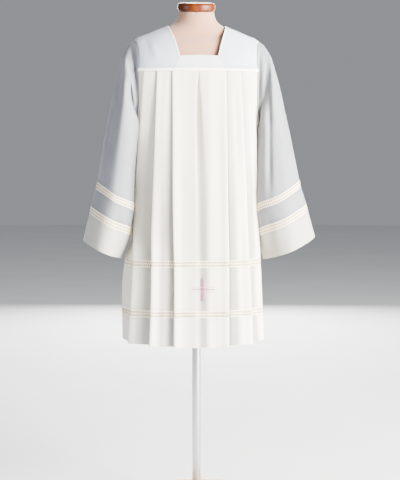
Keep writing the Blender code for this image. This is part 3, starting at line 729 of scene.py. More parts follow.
def cloth_from_grid(
    name, grid, material, thickness, tape_distance, rounding=0.0, closed=False, edge=None, painted_pleat_shade=None
):
    """A sheet through a grid whose rows run round the piece. A closed grid repeats its first column at its end.

    edge marks, for each cell of the grid, whether it gets the finish of a folded edge, and the last argument says,
    for each point, how much painted shade the cloth gets there.
    """
    rows, columns = grid.shape[:2]
    width = columns - 1 if closed else columns
    across, along = lengths_along(grid, 1), lengths_along(grid, 0)
    vertex = lambda r, c: r * width + (c % width if closed else c)
    faces, places = [], []
    for r in range(rows - 1):
        for c in range(columns - 1):
            corners = ((r, c), (r, c + 1), (r + 1, c + 1), (r + 1, c))
            faces.append([vertex(*corner) for corner in corners])
            places += corners
    piece = new_piece(name, grid[:, :width].reshape(-1, 3), faces, material)
    if painted_pleat_shade is not None:
        attribute = piece.data.attributes.new("painted_pleat_shade", "FLOAT", "POINT")
        attribute.data.foreach_set("value", painted_pleat_shade[:, :width].astype(np.float32).ravel())
    places = np.array(places)
    u, v = across[places[:, 0], places[:, 1]], along[places[:, 0], places[:, 1]]
    set_uv(piece.data, "cloth", np.stack([u, v], 1))
    set_uv(piece.data, "tape_distance", np.stack([u, tape_distance[places[:, 0]]], 1))
    if edge is not None:
        piece.data.materials.append(edge_cloth)
        piece.data.polygons.foreach_set("material_index", edge.astype(np.int32).ravel())
    thicken(piece, thickness, rounding)
    return piece


def declare(piece, node):
    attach(piece, "root")
    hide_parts(node)


# %% [markdown]
# ## Skirt
# Each face of the skirt is three pieces of cloth with two openwork tapes between them. The hem band is doubled:
# it is turned up as far as the lower tape, so it is thicker and looks warmer.

# %% Skirt panels
SINGLE_CLOTH = 0.0008
DOUBLED_CLOTH = 0.0013
FAR_FROM_TAPE = 0.5
SKIRT_PIECES = {
    "hem_band": {"z": (HEM_Z, LOWER_TAPE_Z[0]), "rows": 18, "wall": DOUBLED_CLOTH, "finish": doubled_cloth},
    "middle_band": {"z": (LOWER_TAPE_Z[1], UPPER_TAPE_Z[0]), "rows": 26, "wall": SINGLE_CLOTH, "finish": skirt_cloth},
    "panel": {"z": (UPPER_TAPE_Z[1], YOKE_SEAM_Z), "rows": 104, "wall": SINGLE_CLOTH, "finish": skirt_cloth},
}


def skirt_grid(face, low, high, rows):
    found = np.array([skirt_row(z, face) for z in np.linspace(low, high, rows)])
    return found[..., :3], found[..., 3]


def distance_to_tape(z, low_is_tape, high_is_tape):
    found = np.full(len(z), FAR_FROM_TAPE)
    if low_is_tape:
        found = np.minimum(found, z - z.min())
    if high_is_tape:
        found = np.minimum(found, z.max() - z)
    return found


for face in ("front", "back"):
    for part, plan in SKIRT_PIECES.items():
        low = plan["z"][0] + (SEAM_GAP / 2 if part != "hem_band" else 0)
        high = plan["z"][1] - SEAM_GAP / 2
        grid, painted_pleat_shade = skirt_grid(face, low, high, plan["rows"])
        marks = distance_to_tape(grid[:, 0, 2], part != "hem_band", part != "panel")
        rounding = 0.0004 if part == "hem_band" else 0.0
        cloth = cloth_from_grid(
            f"{face}_{part}_cloth", grid, plan["finish"], plan["wall"], marks, rounding, painted_pleat_shade=painted_pleat_shade,
        )
        declare(cloth, f"{face}_{part}")

# %% [markdown]
# ## Openwork tapes
# A tape is 22 mm of cloth with two rows of small holes, each oversewn, and the holes of one row stand between
# those of the other. One cell with one hole is worked out flat, as three rings of points: the hole's edge, the
# oversewn ridge round it, and the cell's border. The cell is then repeated along the tape, and each point is
# moved to where the tape runs, so the holes follow every pleat.

# %% One cell of openwork
CELL_WIDTH = 0.0077
ROW_OFFSET = 0.0048
HOLE_SIZE = (0.0018, 0.0020)
RIDGE_SIZE = (0.0027, 0.0030)
RIDGE_HEIGHT = 0.00045
ROUND = 16


def hole_outline(size, points_down):
    """A rounded triangle, one point for each of the border's points."""
    angles = np.array([math.atan2(y - 0.5, x - 0.5) for x, y in CELL_BORDER])
    tip = -math.pi / 2 if points_down else math.pi / 2
    reach = 1 + 0.13 * np.cos(3 * (angles - tip))
    return np.stack([size[0] * reach * np.cos(angles), size[1] * reach * np.sin(angles)], 1)


quarter = (0.0, 0.25, 0.5, 0.75)
CELL_BORDER = (
    [(t, 0.0) for t in quarter] + [(1.0, t) for t in quarter]
    + [(1 - t, 1.0) for t in quarter] + [(0.0, 1 - t) for t in quarter]
)


def flat_openwork(cells, height, closed):
    """The tape laid flat: vertices as (along, up, lift, oversewn) and faces."""
    vertices, faces, borders = [], [], {}
    steps = 4 * cells

    def border(i, j):
        key = (i % steps if closed else i, j)
        if key not in borders:
            borders[key] = len(vertices)
            on_middle = j == 4
            lift, tone = (0.0002, 0.3) if on_middle else (0.0, 0.0)
            vertices.append((i * CELL_WIDTH / 4, j * height / 8, lift, tone))
        return borders[key]

    for row in (0, 1):
        shift = 2 * row
        middle_up = height / 2 + (ROW_OFFSET if row else -ROW_OFFSET)
        count = cells if closed or row == 0 else cells - 1
        for k in range(count):
            outer = [border(4 * k + shift + round(4 * x), 4 * row + round(4 * y)) for x, y in CELL_BORDER]
            centre = (k + 0.5 + shift / 4) * CELL_WIDTH
            rings = []
            for size, lift, oversewn in ((RIDGE_SIZE, RIDGE_HEIGHT, 0.5), (HOLE_SIZE, RIDGE_HEIGHT * 0.4, 1.0)):
                first = len(vertices)
                for x, y in hole_outline(size, row == 1):
                    vertices.append((centre + x, middle_up + y, lift, oversewn))
                rings.append([first + n for n in range(ROUND)])
            for outside, inside in ((outer, rings[0]), (rings[0], rings[1])):
                for n in range(ROUND):
                    m = (n + 1) % ROUND
                    faces.append((outside[n], outside[m], inside[m], inside[n]))
    if not closed:
        for start in (0, steps - 2):
            for i in (start, start + 1):
                for j in range(4, 8):
                    faces.append((border(i, j), border(i + 1, j), border(i + 1, j + 1), border(i, j + 1)))
    return np.array(vertices), faces


# %% Lay the tape along the cloth
def tape_along(name, grid, material, thickness, closed=False):
    """grid is the tape's surface, a few fine rows from its lower edge to its upper one."""
    rows, columns = grid.shape[:2]
    middle = grid[rows // 2]
    run = np.concatenate([[0], np.cumsum(np.linalg.norm(np.diff(middle, axis=0), axis=1))])
    height = float(lengths_along(grid, 0)[-1].mean())
    cells = round(run[-1] / CELL_WIDTH)
    flat, faces = flat_openwork(cells, height, closed)
    along_x = np.gradient(grid, axis=1)
    up = np.gradient(grid, axis=0)
    normals = np.cross(along_x, up)
    normals /= np.linalg.norm(normals, axis=2)[..., None]
    length = flat[:, 0] / (cells * CELL_WIDTH) * run[-1]
    if closed:
        length = length % run[-1]
    column = np.interp(length, run, np.arange(columns))
    row = np.clip(flat[:, 1] / height, 0, 1) * (rows - 1)
    c, r = np.minimum(column.astype(int), columns - 2), np.minimum(row.astype(int), rows - 2)
    fc, fr = (column - c)[:, None], (row - r)[:, None]
    mixed = []
    for values in (grid, normals):
        low = values[r, c] * (1 - fc) + values[r, c + 1] * fc
        high = values[r + 1, c] * (1 - fc) + values[r + 1, c + 1] * fc
        mixed.append(low * (1 - fr) + high * fr)
    place, out = mixed
    out /= np.linalg.norm(out, axis=1)[:, None]
    piece = new_piece(name, place + out * flat[:, 2:3], faces, material)
    attribute = piece.data.attributes.new("oversewn", "FLOAT", "POINT")
    attribute.data.foreach_set("value", flat[:, 3].astype(np.float32))
    corners = []
    for face in faces:
        corner = flat[list(face), :2].copy()
        if closed and np.ptp(corner[:, 0]) > CELL_WIDTH * 2:
            corner[corner[:, 0] < CELL_WIDTH * 2, 0] += cells * CELL_WIDTH
        corners.append(corner)
    set_uv(piece.data, "cloth", np.concatenate(corners))
    thicken(piece, thickness)
    return piece


TAPE_WALL = 0.0008
TAPE_ROWS = 5
for face in ("front", "back"):
    for part, (low, high) in (("lower_tape", LOWER_TAPE_Z), ("upper_tape", UPPER_TAPE_Z)):
        grid, _ = skirt_grid(face, low + SEAM_GAP / 2, high - SEAM_GAP / 2, TAPE_ROWS)
        tape = tape_along(f"{face}_{part}_openwork", grid, openwork_tape, TAPE_WALL)
        declare(tape, f"{face}_{part}")

# %% [markdown]
# ## Yoke
# The yoke is four doubled strips with a square neck, mitred at its corners. Each strip is a grid from the front
# seam over the shoulder to the back seam. Its lower edge is turned under and laid over the heads of the pleats,
# so it stands 3 mm proud of them and catches the light, and the neck edge has a narrow stitched rim.

# %% Sizes of the yoke
SHOULDER_LINE = {
    "x": (0.0, 0.060, 0.093, 0.125, 0.160, 0.192, 0.208, 0.230),
    "z": (1.590, 1.582, 1.571, 1.559, 1.5445, 1.532, 1.520, 1.500),
}
YOKE_TURN = (90, 73.4, 58, 43, 28, 14, 0, -13, -26, -39, -52, -71, -90)
NECK_EDGE = (0.084, 0.0607, 0.0705, 0.080, 0.0875, 0.0915, 0.093, 0.0915, 0.087, 0.080, 0.072, 0.088, 0.104)
ARM_EDGE = (0.190, 0.1885, 0.189, 0.192, 0.197, 0.203, 0.208, 0.203, 0.197, 0.192, 0.189, 0.1885, 0.190)
FRONT_CORNER_TURN = 73.4
BACK_CORNER_TURN = -52.0
MITRE_GAP = 0.0004
YOKE_WALL = 0.0014
OVER_PLEATS = 0.0050
OVERLAP = 0.0030
SEAM_STRIP = 0.0065
NECK_STRIP = 0.0040


def neck_edge(turn):
    """The inner edge of the shoulder strip: the neck between its corners, the mitre beyond them."""
    if BACK_CORNER_TURN <= turn <= FRONT_CORNER_TURN:
        return float(read(YOKE_TURN[10:0:-1], NECK_EDGE[10:0:-1], turn))
    return float(np.interp(turn, YOKE_TURN[::-1], NECK_EDGE[::-1]))


def yoke_points(x, turn, side):
    """Points of the yoke: turn is 90 degrees at the front seam, 0 on the shoulder, -90 at the back seam."""
    face = "front" if turn >= 0 else "back"
    pitch = layer_pitch(YOKE_SEAM_Z)
    half = read(BODY["z"], BODY["right" if side > 0 else "left"], YOKE_SEAM_Z) + pitch
    depth = read(BODY["z"], BODY[face], YOKE_SEAM_Z) + pitch
    angle = math.radians(turn)
    rise = read(SHOULDER_LINE["x"], SHOULDER_LINE["z"], np.abs(x)) - YOKE_SEAM_Z
    y = -ring_depth(x, half, depth) * math.sin(angle)
    return np.stack([side * x, y, YOKE_SEAM_Z + rise * math.cos(angle)], -1)


def grid_normals(grid):
    normals = np.cross(np.gradient(grid, axis=1), np.gradient(grid, axis=0))
    return normals / np.linalg.norm(normals, axis=2)[..., None]


# %% Yoke strips
YOKE_CREASES = (
    (-0.158, 42, -0.126, 82, 0.0140, 0.0016),
    (-0.176, 24, -0.150, 72, 0.0120, -0.0014),
    (0.168, 38, 0.134, 80, 0.0140, 0.0016),
    (0.178, 20, 0.160, 66, 0.0120, -0.0014),
    (-0.150, -36, -0.128, -74, 0.0110, 0.0020),
    (0.158, -34, 0.136, -70, 0.0100, -0.0020),
)


def yoke_lift(x, turn, from_seam, from_neck):
    """Outward moves: the edge over the pleats, the rim of the neck and the soft diagonal creases."""
    lift = OVER_PLEATS * (1 - ease(np.clip((from_seam - 0.004) / 0.014, 0, 1)))
    lift = lift + 0.0007 * (1 - ease(np.clip((from_seam - SEAM_STRIP) / 0.0015, 0, 1)))
    lift = lift + 0.0006 * (1 - ease(np.clip((from_neck - NECK_STRIP) / 0.0012, 0, 1)))
    for x_start, turn_start, x_end, turn_end, half, height in YOKE_CREASES:
        t = np.clip((turn - turn_start) / (turn_end - turn_start), 0, 1)
        fade = ease(np.minimum(1, t * 3)) * ease(np.minimum(1, (1 - t) * 3))
        lift = lift + height * fade * np.exp(-(((x - x_start - (x_end - x_start) * t) / half) ** 2))
    return lift


def drop_edge(grid, row):
    """Carries a seam edge of the yoke straight down over the pleats."""
    lower = grid[row].copy()
    lower[:, 2] -= OVERLAP
    return lower


def yoke_grid(turns, inner, outer, side, columns):
    rows = []
    for turn in turns:
        share = columns if np.ndim(columns) else np.linspace(0, 1, columns)
        rows.append(yoke_points(inner(turn) + (outer(turn) - inner(turn)) * share, turn, side))
    return np.array(rows)


def finish_yoke(name, grid, turns, neck_rows, front_seam, back_seam, node):
    """Adds the edge over the pleats at each seam, lifts the surface and makes the strip."""
    turn = np.repeat(np.array(turns, float)[:, None], grid.shape[1], 1)
    along = lengths_along(grid, 0)
    from_seam = np.full(turn.shape, 1.0)
    if front_seam:
        from_seam = np.minimum(from_seam, along)
    if back_seam:
        from_seam = np.minimum(from_seam, along[-1:] - along)
    lifted = grid + yoke_lift(grid[..., 0], turn, from_seam, neck_rows)[..., None] * grid_normals(grid)
    edge = (from_seam < SEAM_STRIP) | (neck_rows < NECK_STRIP)
    if front_seam:
        lifted, edge = np.concatenate([drop_edge(lifted, 0)[None], lifted]), np.concatenate([edge[:1], edge])
    if back_seam:
        lifted, edge = np.concatenate([lifted, drop_edge(lifted, -1)[None]]), np.concatenate([edge, edge[-1:]])
    edge = edge[:-1, :-1] & edge[1:, :-1] & edge[:-1, 1:] & edge[1:, 1:]
    cloth = collar_cloth if node == "yoke_front" else yoke_cloth
    far = np.full(len(lifted), FAR_FROM_TAPE)
    piece = cloth_from_grid(name, lifted, cloth, YOKE_WALL, far, 0.0004, edge=edge)
    declare(piece, node)
    return lifted


def arm_edge(turn):
    return float(read(YOKE_TURN[::-1], ARM_EDGE[::-1], turn))


EDGE_SHARES = np.concatenate([[0, 0.012, 0.026, 0.042, 0.06], np.linspace(0.09, 1, 26)])
FRONT_TURNS = (90, 89, 88, 87, 86.2, 85.4, 84.4, 83, 81, 79, 77, 75, FRONT_CORNER_TURN)
BACK_TURNS = (BACK_CORNER_TURN, -56, -60, -64, -68, -72, -76, -80, -83, -85, -86.2, -87.2, -88.2, -89.1, -90)
MIDDLE_TURNS = tuple(np.linspace(FRONT_CORNER_TURN, BACK_CORNER_TURN, 58)[1:-1])
SHOULDER_TURNS = FRONT_TURNS + MIDDLE_TURNS + BACK_TURNS
yoke_surface = {}

for side_name, side in (("left", -1), ("right", 1)):
    grid = yoke_grid(SHOULDER_TURNS, lambda t: neck_edge(t) + MITRE_GAP / 2, arm_edge, side, EDGE_SHARES)
    from_neck = lengths_along(grid, 1)
    for row, turn in enumerate(SHOULDER_TURNS):
        if not BACK_CORNER_TURN <= turn <= FRONT_CORNER_TURN:
            from_neck[row] = 1.0
    turns = SHOULDER_TURNS
    if side < 0:
        grid, from_neck = grid[:, ::-1], from_neck[:, ::-1]
    yoke_surface[side_name] = finish_yoke(
        f"yoke_{side_name}_shoulder_cloth", grid, turns, from_neck, True, True, f"yoke_{side_name}_shoulder"
    )

for face, turns in (("front", FRONT_TURNS), ("back", BACK_TURNS)):
    rows = []
    for turn in turns:
        reach = neck_edge(turn) - MITRE_GAP / 2
        x = np.linspace(-reach, reach, 41)
        rows.append(np.concatenate([
            yoke_points(-x[:20], turn, -1), yoke_points(x[20:], turn, 1),
        ]))
    grid = np.array(rows)
    along = lengths_along(grid, 0)
    from_neck = along[-1:] - along if face == "front" else along
    if face == "back":
        grid, from_neck, turns = grid[::-1, ::-1], from_neck[::-1, ::-1], turns[::-1]
    yoke_surface[face] = finish_yoke(
        f"yoke_{face}_cloth", grid, turns, from_neck, True, False, f"yoke_{face}"
    )

# %% [markdown]
# ### Stitching of the yoke
# A row of machine stitches holds the folded edge down over the pleats, and another follows the neck. One stitch is
# a ball drawn out to 2.4 mm. It is copied along a line on the cloth, turned to lie along it, and the copies are
# joined to one row. Modelled stitches catch the light from every side, which painted ones would not.

# %% Model one stitch
STITCH_SIZE = (0.0024, 0.0005, 0.0004)
STITCH_PITCH = 0.0034
SEAM_STITCH = 0.0072
NECK_STITCH = 0.0030

bpy.ops.object.select_all(action="DESELECT")
bpy.ops.mesh.primitive_uv_sphere_add(segments=8, ring_count=6, radius=0.5, location=(0, 0, 0))
stitch = bpy.context.object
stitch.scale = STITCH_SIZE
bpy.ops.object.transform_apply(scale=True)
bpy.ops.object.shade_smooth()
stitch.data.materials.append(white_thread)
print("faces of a stitch:", len(stitch.data.polygons))


# %% Sew the yoke
def line_at(lines, normals, distance):
    """The point of each line at a distance from the line's start, and the outward direction there."""
    places, outs = [], []
    for line, normal in zip(lines, normals):
        run = np.concatenate([[0], np.cumsum(np.linalg.norm(np.diff(line, axis=0), axis=1))])
        places.append([np.interp(distance, run, line[:, axis]) for axis in range(3)])
        outs.append([np.interp(distance, run, normal[:, axis]) for axis in range(3)])
    return np.array(places), np.array(outs)


def sew(name, places, outs):
    """Copies the stitch along a line on the cloth and joins the copies to one row."""
    run = np.concatenate([[0], np.cumsum(np.linalg.norm(np.diff(places, axis=0), axis=1))])
    bpy.ops.object.select_all(action="DESELECT")
    for at in np.arange(STITCH_PITCH, run[-1] - STITCH_PITCH / 2, STITCH_PITCH):
        here, ahead = (
            Vector([np.interp(at + step, run, places[:, axis]) for axis in range(3)]) for step in (0, 0.001)
        )
        up = Vector([np.interp(at, run, outs[:, axis]) for axis in range(3)]).normalized()
        along = (ahead - here).normalized()
        side = up.cross(along).normalized()
        up = along.cross(side)
        copy = stitch.copy()
        copy.data = stitch.data.copy()
        copy.matrix_world = Matrix((along, side, up)).transposed().to_4x4()
        copy.matrix_world.translation = here + up * (YOKE_WALL / 2 + STITCH_SIZE[2] * 0.2)
        bpy.context.scene.collection.objects.link(copy)
        copy.select_set(True)
        bpy.context.view_layer.objects.active = copy
    bpy.ops.object.join()
    row = bpy.context.object
    row.name = row.data.name = name
    bpy.ops.object.transform_apply(location=True, rotation=True, scale=True)
    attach(row, "root")
    return row


neck_turns = [row for row, turn in enumerate(SHOULDER_TURNS) if BACK_CORNER_TURN <= turn <= FRONT_CORNER_TURN]
for part, surface in yoke_surface.items():
    outward = grid_normals(surface)
    rows_of_part = []
    columns, column_outs = surface.swapaxes(0, 1)[1:-1], outward.swapaxes(0, 1)[1:-1]
    if part == "back":
        columns, column_outs = columns[:, ::-1], column_outs[:, ::-1]
    seam_line = line_at(columns, column_outs, OVERLAP + SEAM_STITCH - 0.002)
    rows_of_part.append(sew(f"yoke_{part}_seam_stitches", *seam_line))
    if part in ("left", "right"):
        rows_of_part.append(sew(
            f"yoke_{part}_back_seam_stitches",
            *line_at(columns[:, ::-1], column_outs[:, ::-1], OVERLAP + SEAM_STITCH - 0.002),
        ))
        across, across_outs = surface[[row + 1 for row in neck_turns]], outward[[row + 1 for row in neck_turns]]
        if part == "left":
            across, across_outs = across[:, ::-1], across_outs[:, ::-1]
        rows_of_part.append(sew(f"yoke_{part}_neck_stitches", *line_at(across, across_outs, NECK_STITCH)))
    else:
        rows_of_part.append(sew(
            f"yoke_{part}_neck_stitches", *line_at(columns[:, ::-1], column_outs[:, ::-1], NECK_STITCH),
        ))
    print("stitched:", [row.name for row in rows_of_part])
bpy.data.objects.remove(stitch)

# %% [markdown]
# ## Sleeves
# A sleeve starts at the armhole seam, turns over the shoulder and widens towards the cuff. Tables give its outer
# and inner edge, its depth and how far it wraps round the body at eleven places down its length, and a smooth
# curve is drawn through them. Its long soft folds are given as lines on its front and back, each with a
# half width and a height, which is negative for a trough.

# %% Sizes of the sleeves
SLEEVE = {
    "outer_x": (0.2240, 0.2400, 0.2535, 0.2720, 0.2965, 0.3165, 0.3320, 0.3370, 0.3540, 0.3590, 0.3820),
    "outer_z": (1.507, 1.480, 1.435, 1.360, 1.251, 1.150, 1.0705, 1.0490, 0.9920, 0.9700, 0.8830),
    "inner_x": (0.2150, 0.2185, 0.2200, 0.2190, 0.2150, 0.2120, 0.2085, 0.2085, 0.2110, 0.2135, 0.2345),
    "inner_z": (1.246, 1.233, 1.210, 1.165, 1.105, 1.045, 0.9860, 0.9640, 0.9110, 0.8890, 0.8150),
    "depth": (0.074, 0.092, 0.098, 0.099, 0.099, 0.100, 0.101, 0.101, 0.102, 0.102, 0.105),
    "sag": (0.000, 0.000, 0.001, 0.001, 0.000, -0.001, -0.002, -0.002, 0.000, 0.001, 0.004),
    "wave": (0.000, 0.002, 0.004, 0.005, 0.005, 0.004, 0.003, 0.003, 0.003, 0.003, 0.003),
    "wrap": (0.008, 0.018, 0.028, 0.033, 0.030, 0.027, 0.024, 0.022, 0.016, 0.013, 0.003),
}
SLEEVE_PIECES = {
    "main": (0, 6, 84),
    "upper_tape": (6, 7, 5),
    "middle": (7, 8, 10),
    "lower_tape": (8, 9, 5),
    "cuff": (9, 10, 18),
}
SLEEVE_COLUMNS = 144
SLEEVE_WAVES = 4
SLEEVE_WAVE_TURN = {"left": 0.9, "right": 0.4}
SLEEVE_SPREAD = {"left": -0.011, "right": 0.011}
DEPTH_FOR_SPREAD = 0.6
SLEEVE_TILT = {"left": -0.005, "right": 0.005}
INNER_TILT = 0.6
ARMHOLE_STAND_OFF = 0.0014
outer_steps = np.hypot(np.diff(SLEEVE["outer_x"]), np.diff(SLEEVE["outer_z"]))
SLEEVE_PLACE = np.concatenate([[0], np.cumsum(outer_steps)])
print("length of a sleeve's outer edge:", round(float(SLEEVE_PLACE[-1]), 3), "m")


# %% Rings of the sleeves
def armhole_seam(side_name):
    """The armhole seam as an even loop: from the shoulder down the front, and up the back."""
    side = 1 if side_name == "right" else -1
    halves = []
    for face, way in (("front", 1), ("back", -1)):
        over = [yoke_points(np.array([arm_edge(t)]), t, side)[0] for t in way * np.linspace(0, 90, 46)]
        down = []
        for z in np.linspace(YOKE_SEAM_Z, UNDERARM_Z, 40)[1:]:
            x, y = row_end(z, side_name, face)
            down.append((side * x, -y if face == "front" else y, z))
        down[-1] = (down[-1][0], 0.0, down[-1][2])
        line = np.array([*over, *down])
        run = np.concatenate([[0], np.cumsum(np.linalg.norm(np.diff(line, axis=0), axis=1))])
        even = np.linspace(0, run[-1], SLEEVE_COLUMNS // 2 + 1)
        halves.append(np.stack([np.interp(even, run, line[:, axis]) for axis in range(3)], 1))
    loop = np.concatenate([halves[0], halves[1][-2::-1]])
    loop[:, 0] += side * ARMHOLE_STAND_OFF
    return loop


def sleeve_ring(place, side_name, angles):
    """The sleeve's ring at a length down its outer edge."""
    side = 1 if side_name == "right" else -1
    size = {key: float(read(SLEEVE_PLACE, SLEEVE[key], place)) for key in SLEEVE}
    down = (SLEEVE["outer_z"][0] - size["outer_z"]) / (SLEEVE["outer_z"][0] - SLEEVE["outer_z"][-1])
    spread, tilt = SLEEVE_SPREAD[side_name] * down, SLEEVE_TILT[side_name] * down
    outer = np.array([size["outer_x"] + spread, 0, size["outer_z"] + tilt])
    inner = np.array([size["inner_x"] - spread, 0, size["inner_z"] - INNER_TILT * tilt])
    depth = size["depth"] - DEPTH_FOR_SPREAD * spread
    arm = (outer - inner) / 2
    bulge = np.sin(angles) ** 2
    wave = size["wave"] * np.sin(SLEEVE_WAVES * angles + SLEEVE_WAVE_TURN[side_name]) * bulge
    reach = np.cos(angles) * (1 + wave / np.linalg.norm(arm))
    ring = (outer + inner) / 2 + arm * reach[:, None]
    ring[:, 1] = -(depth + wave) * np.sin(angles)
    ring[:, 2] -= size["sag"] * bulge
    ring[:, 0] -= np.where(np.cos(angles) < 0, size["wrap"] * np.sin(2 * angles) ** 2, 0)
    ring[:, 0] *= side
    return ring


# %% Folds of the sleeves
SLEEVE_FOLDS = {
    ("left", "front"): (
        (
            ((-0.237, 1.478), (-0.230, 1.430), (-0.219, 1.392), (-0.207, 1.358), (-0.201, 1.315), (-0.198, 1.180)),
            0.009, 0.0095,
        ),
        (((-0.216, 1.508), (-0.206, 1.455), (-0.202, 1.419), (-0.198, 1.371), (-0.195, 1.320)), 0.007, -0.0090),
        (((-0.236, 1.500), (-0.255, 1.393), (-0.266, 1.307), (-0.278, 1.223), (-0.293, 1.110)), 0.010, -0.0075),
        (((-0.222, 1.360), (-0.227, 1.200), (-0.241, 1.040)), 0.022, 0.0042),
        (((-0.268, 1.340), (-0.288, 1.202), (-0.309, 1.080)), 0.012, 0.0030),
        (((-0.205, 1.190), (-0.211, 1.073), (-0.219, 0.965)), 0.012, -0.0036),
        (((-0.255, 0.990), (-0.262, 0.899), (-0.272, 0.740)), 0.014, -0.0042),
        (((-0.288, 1.010), (-0.307, 0.928), (-0.332, 0.760)), 0.020, 0.0030),
    ),
    ("right", "front"): (
        (((0.200, 1.495), (0.197, 1.459), (0.195, 1.419), (0.195, 1.300)), 0.0055, -0.0095),
        (
            ((0.215, 1.518), (0.209, 1.450), (0.208, 1.380), (0.210, 1.320), (0.216, 1.230), (0.215, 1.010)),
            0.010, 0.0062,
        ),
        (((0.232, 1.495), (0.227, 1.400), (0.226, 1.320), (0.227, 1.200), (0.231, 0.990)), 0.007, -0.0068),
        (((0.240, 1.440), (0.263, 1.282), (0.297, 1.090)), 0.020, 0.0036),
        (((0.272, 1.340), (0.296, 1.215), (0.320, 1.100)), 0.010, -0.0024),
        (((0.244, 1.290), (0.257, 1.139), (0.269, 1.000)), 0.014, -0.0030),
        (((0.226, 0.980), (0.236, 0.870), (0.248, 0.720)), 0.012, -0.0042),
        (((0.278, 1.010), (0.300, 0.900), (0.314, 0.740)), 0.022, 0.0028),
    ),
    ("left", "back"): (
        (((-0.206, 1.480), (-0.200, 1.400), (-0.198, 1.310)), 0.008, -0.0052),
        (((-0.224, 1.490), (-0.212, 1.390), (-0.206, 1.280), (-0.206, 1.130)), 0.010, 0.0052),
        (((-0.244, 1.460), (-0.262, 1.300), (-0.281, 1.140)), 0.011, -0.0046),
        (((-0.228, 1.310), (-0.240, 1.100), (-0.253, 0.980)), 0.018, 0.0036),
        (((-0.288, 1.160), (-0.310, 1.020), (-0.336, 0.760)), 0.016, -0.0036),
        (((-0.248, 1.010), (-0.258, 0.900), (-0.268, 0.740)), 0.014, 0.0036),
    ),
    ("right", "back"): (
        (((0.205, 1.485), (0.199, 1.410), (0.197, 1.320)), 0.008, -0.0050),
        (((0.226, 1.495), (0.216, 1.390), (0.210, 1.270), (0.211, 1.120)), 0.011, 0.0050),
        (((0.250, 1.450), (0.266, 1.310), (0.287, 1.130)), 0.011, -0.0046),
        (((0.232, 1.300), (0.246, 1.110), (0.258, 0.990)), 0.018, 0.0034),
        (((0.298, 1.170), (0.322, 1.030), (0.350, 0.760)), 0.016, -0.0034),
        (((0.252, 1.000), (0.262, 0.900), (0.270, 0.740)), 0.014, 0.0036),
    ),
}
HEAD_ROWS = 14


def sleeve_surface(side_name):
    """The whole sleeve: rows of a closed grid and the place of each row, from the armhole to the cuff."""
    angles = np.linspace(0, 2 * math.pi, SLEEVE_COLUMNS + 1)
    seam = armhole_seam(side_name)
    places = []
    for first, final, count in SLEEVE_PIECES.values():
        places.append(np.linspace(SLEEVE_PLACE[first], SLEEVE_PLACE[final], count))
    start = sleeve_ring(0.0, side_name, angles)
    onward = (sleeve_ring(0.001, side_name, angles) - start) / 0.001
    gap = np.linalg.norm(start - seam, axis=1)[:, None]
    head = []
    for t in np.linspace(0, 1, HEAD_ROWS, endpoint=False):
        head.append(
            seam * (1 + 2 * t) * (1 - t) ** 2 + (start - seam) * t * (1 - t) ** 2
            + start * t * t * (3 - 2 * t) - onward * gap * t * t * (1 - t)
        )
    head_places = np.linspace(-0.03, 0, HEAD_ROWS, endpoint=False)
    rows = head + [sleeve_ring(place, side_name, angles) for place in np.concatenate(places)]
    return np.array(rows), np.concatenate([head_places, *places]), angles


def lift_along_lines(x, z, lines):
    """Outward moves along lines of (x, z) points, each with a half width and a height. The ends fade."""
    lift = np.zeros(x.shape)
    for points, half, height in lines:
        points = np.asarray(points, float)
        run = np.concatenate([[0], np.cumsum(np.linalg.norm(np.diff(points, axis=0), axis=1))])
        nearest, share = np.full(x.shape, 1e9), np.zeros(x.shape)
        for k in range(len(points) - 1):
            step = points[k + 1] - points[k]
            t = np.clip(((x - points[k, 0]) * step[0] + (z - points[k, 1]) * step[1]) / (step @ step), 0, 1)
            gap = np.hypot(x - points[k, 0] - t * step[0], z - points[k, 1] - t * step[1])
            share = np.where(gap < nearest, (run[k] + t * (run[k + 1] - run[k])) / run[-1], share)
            nearest = np.minimum(gap, nearest)
        fade = ease(np.clip(share * 4, 0, 1)) * ease(np.clip((1 - share) * 4, 0, 1))
        lift += height * fade * np.exp(-((nearest / half) ** 2))
    return lift


def sleeve_lift(side_name, places, rows):
    """The folds of one sleeve, front and back, fading at its outer and inner edge and at the armhole seam."""
    x, y, z = rows[..., 0], rows[..., 1], rows[..., 2]
    lift = np.zeros(x.shape)
    for face, way in (("front", -1), ("back", 1)):
        shown = ease(np.clip(way * y / 0.035, 0, 1))
        lift += shown * lift_along_lines(x, z, SLEEVE_FOLDS[side_name, face])
    return lift * ease(np.clip((places + 0.03) / 0.012, 0, 1))[:, None]


def seam_trim(grid, low, high):
    """Draws the first and last row in by half a seam gap."""
    grid = grid.copy()
    for edge, beside, wanted in ((0, 1, low), (-1, -2, high)):
        if wanted:
            step = grid[beside] - grid[edge]
            grid[edge] += step / np.linalg.norm(step, axis=1)[:, None] * SEAM_GAP / 2
    return grid


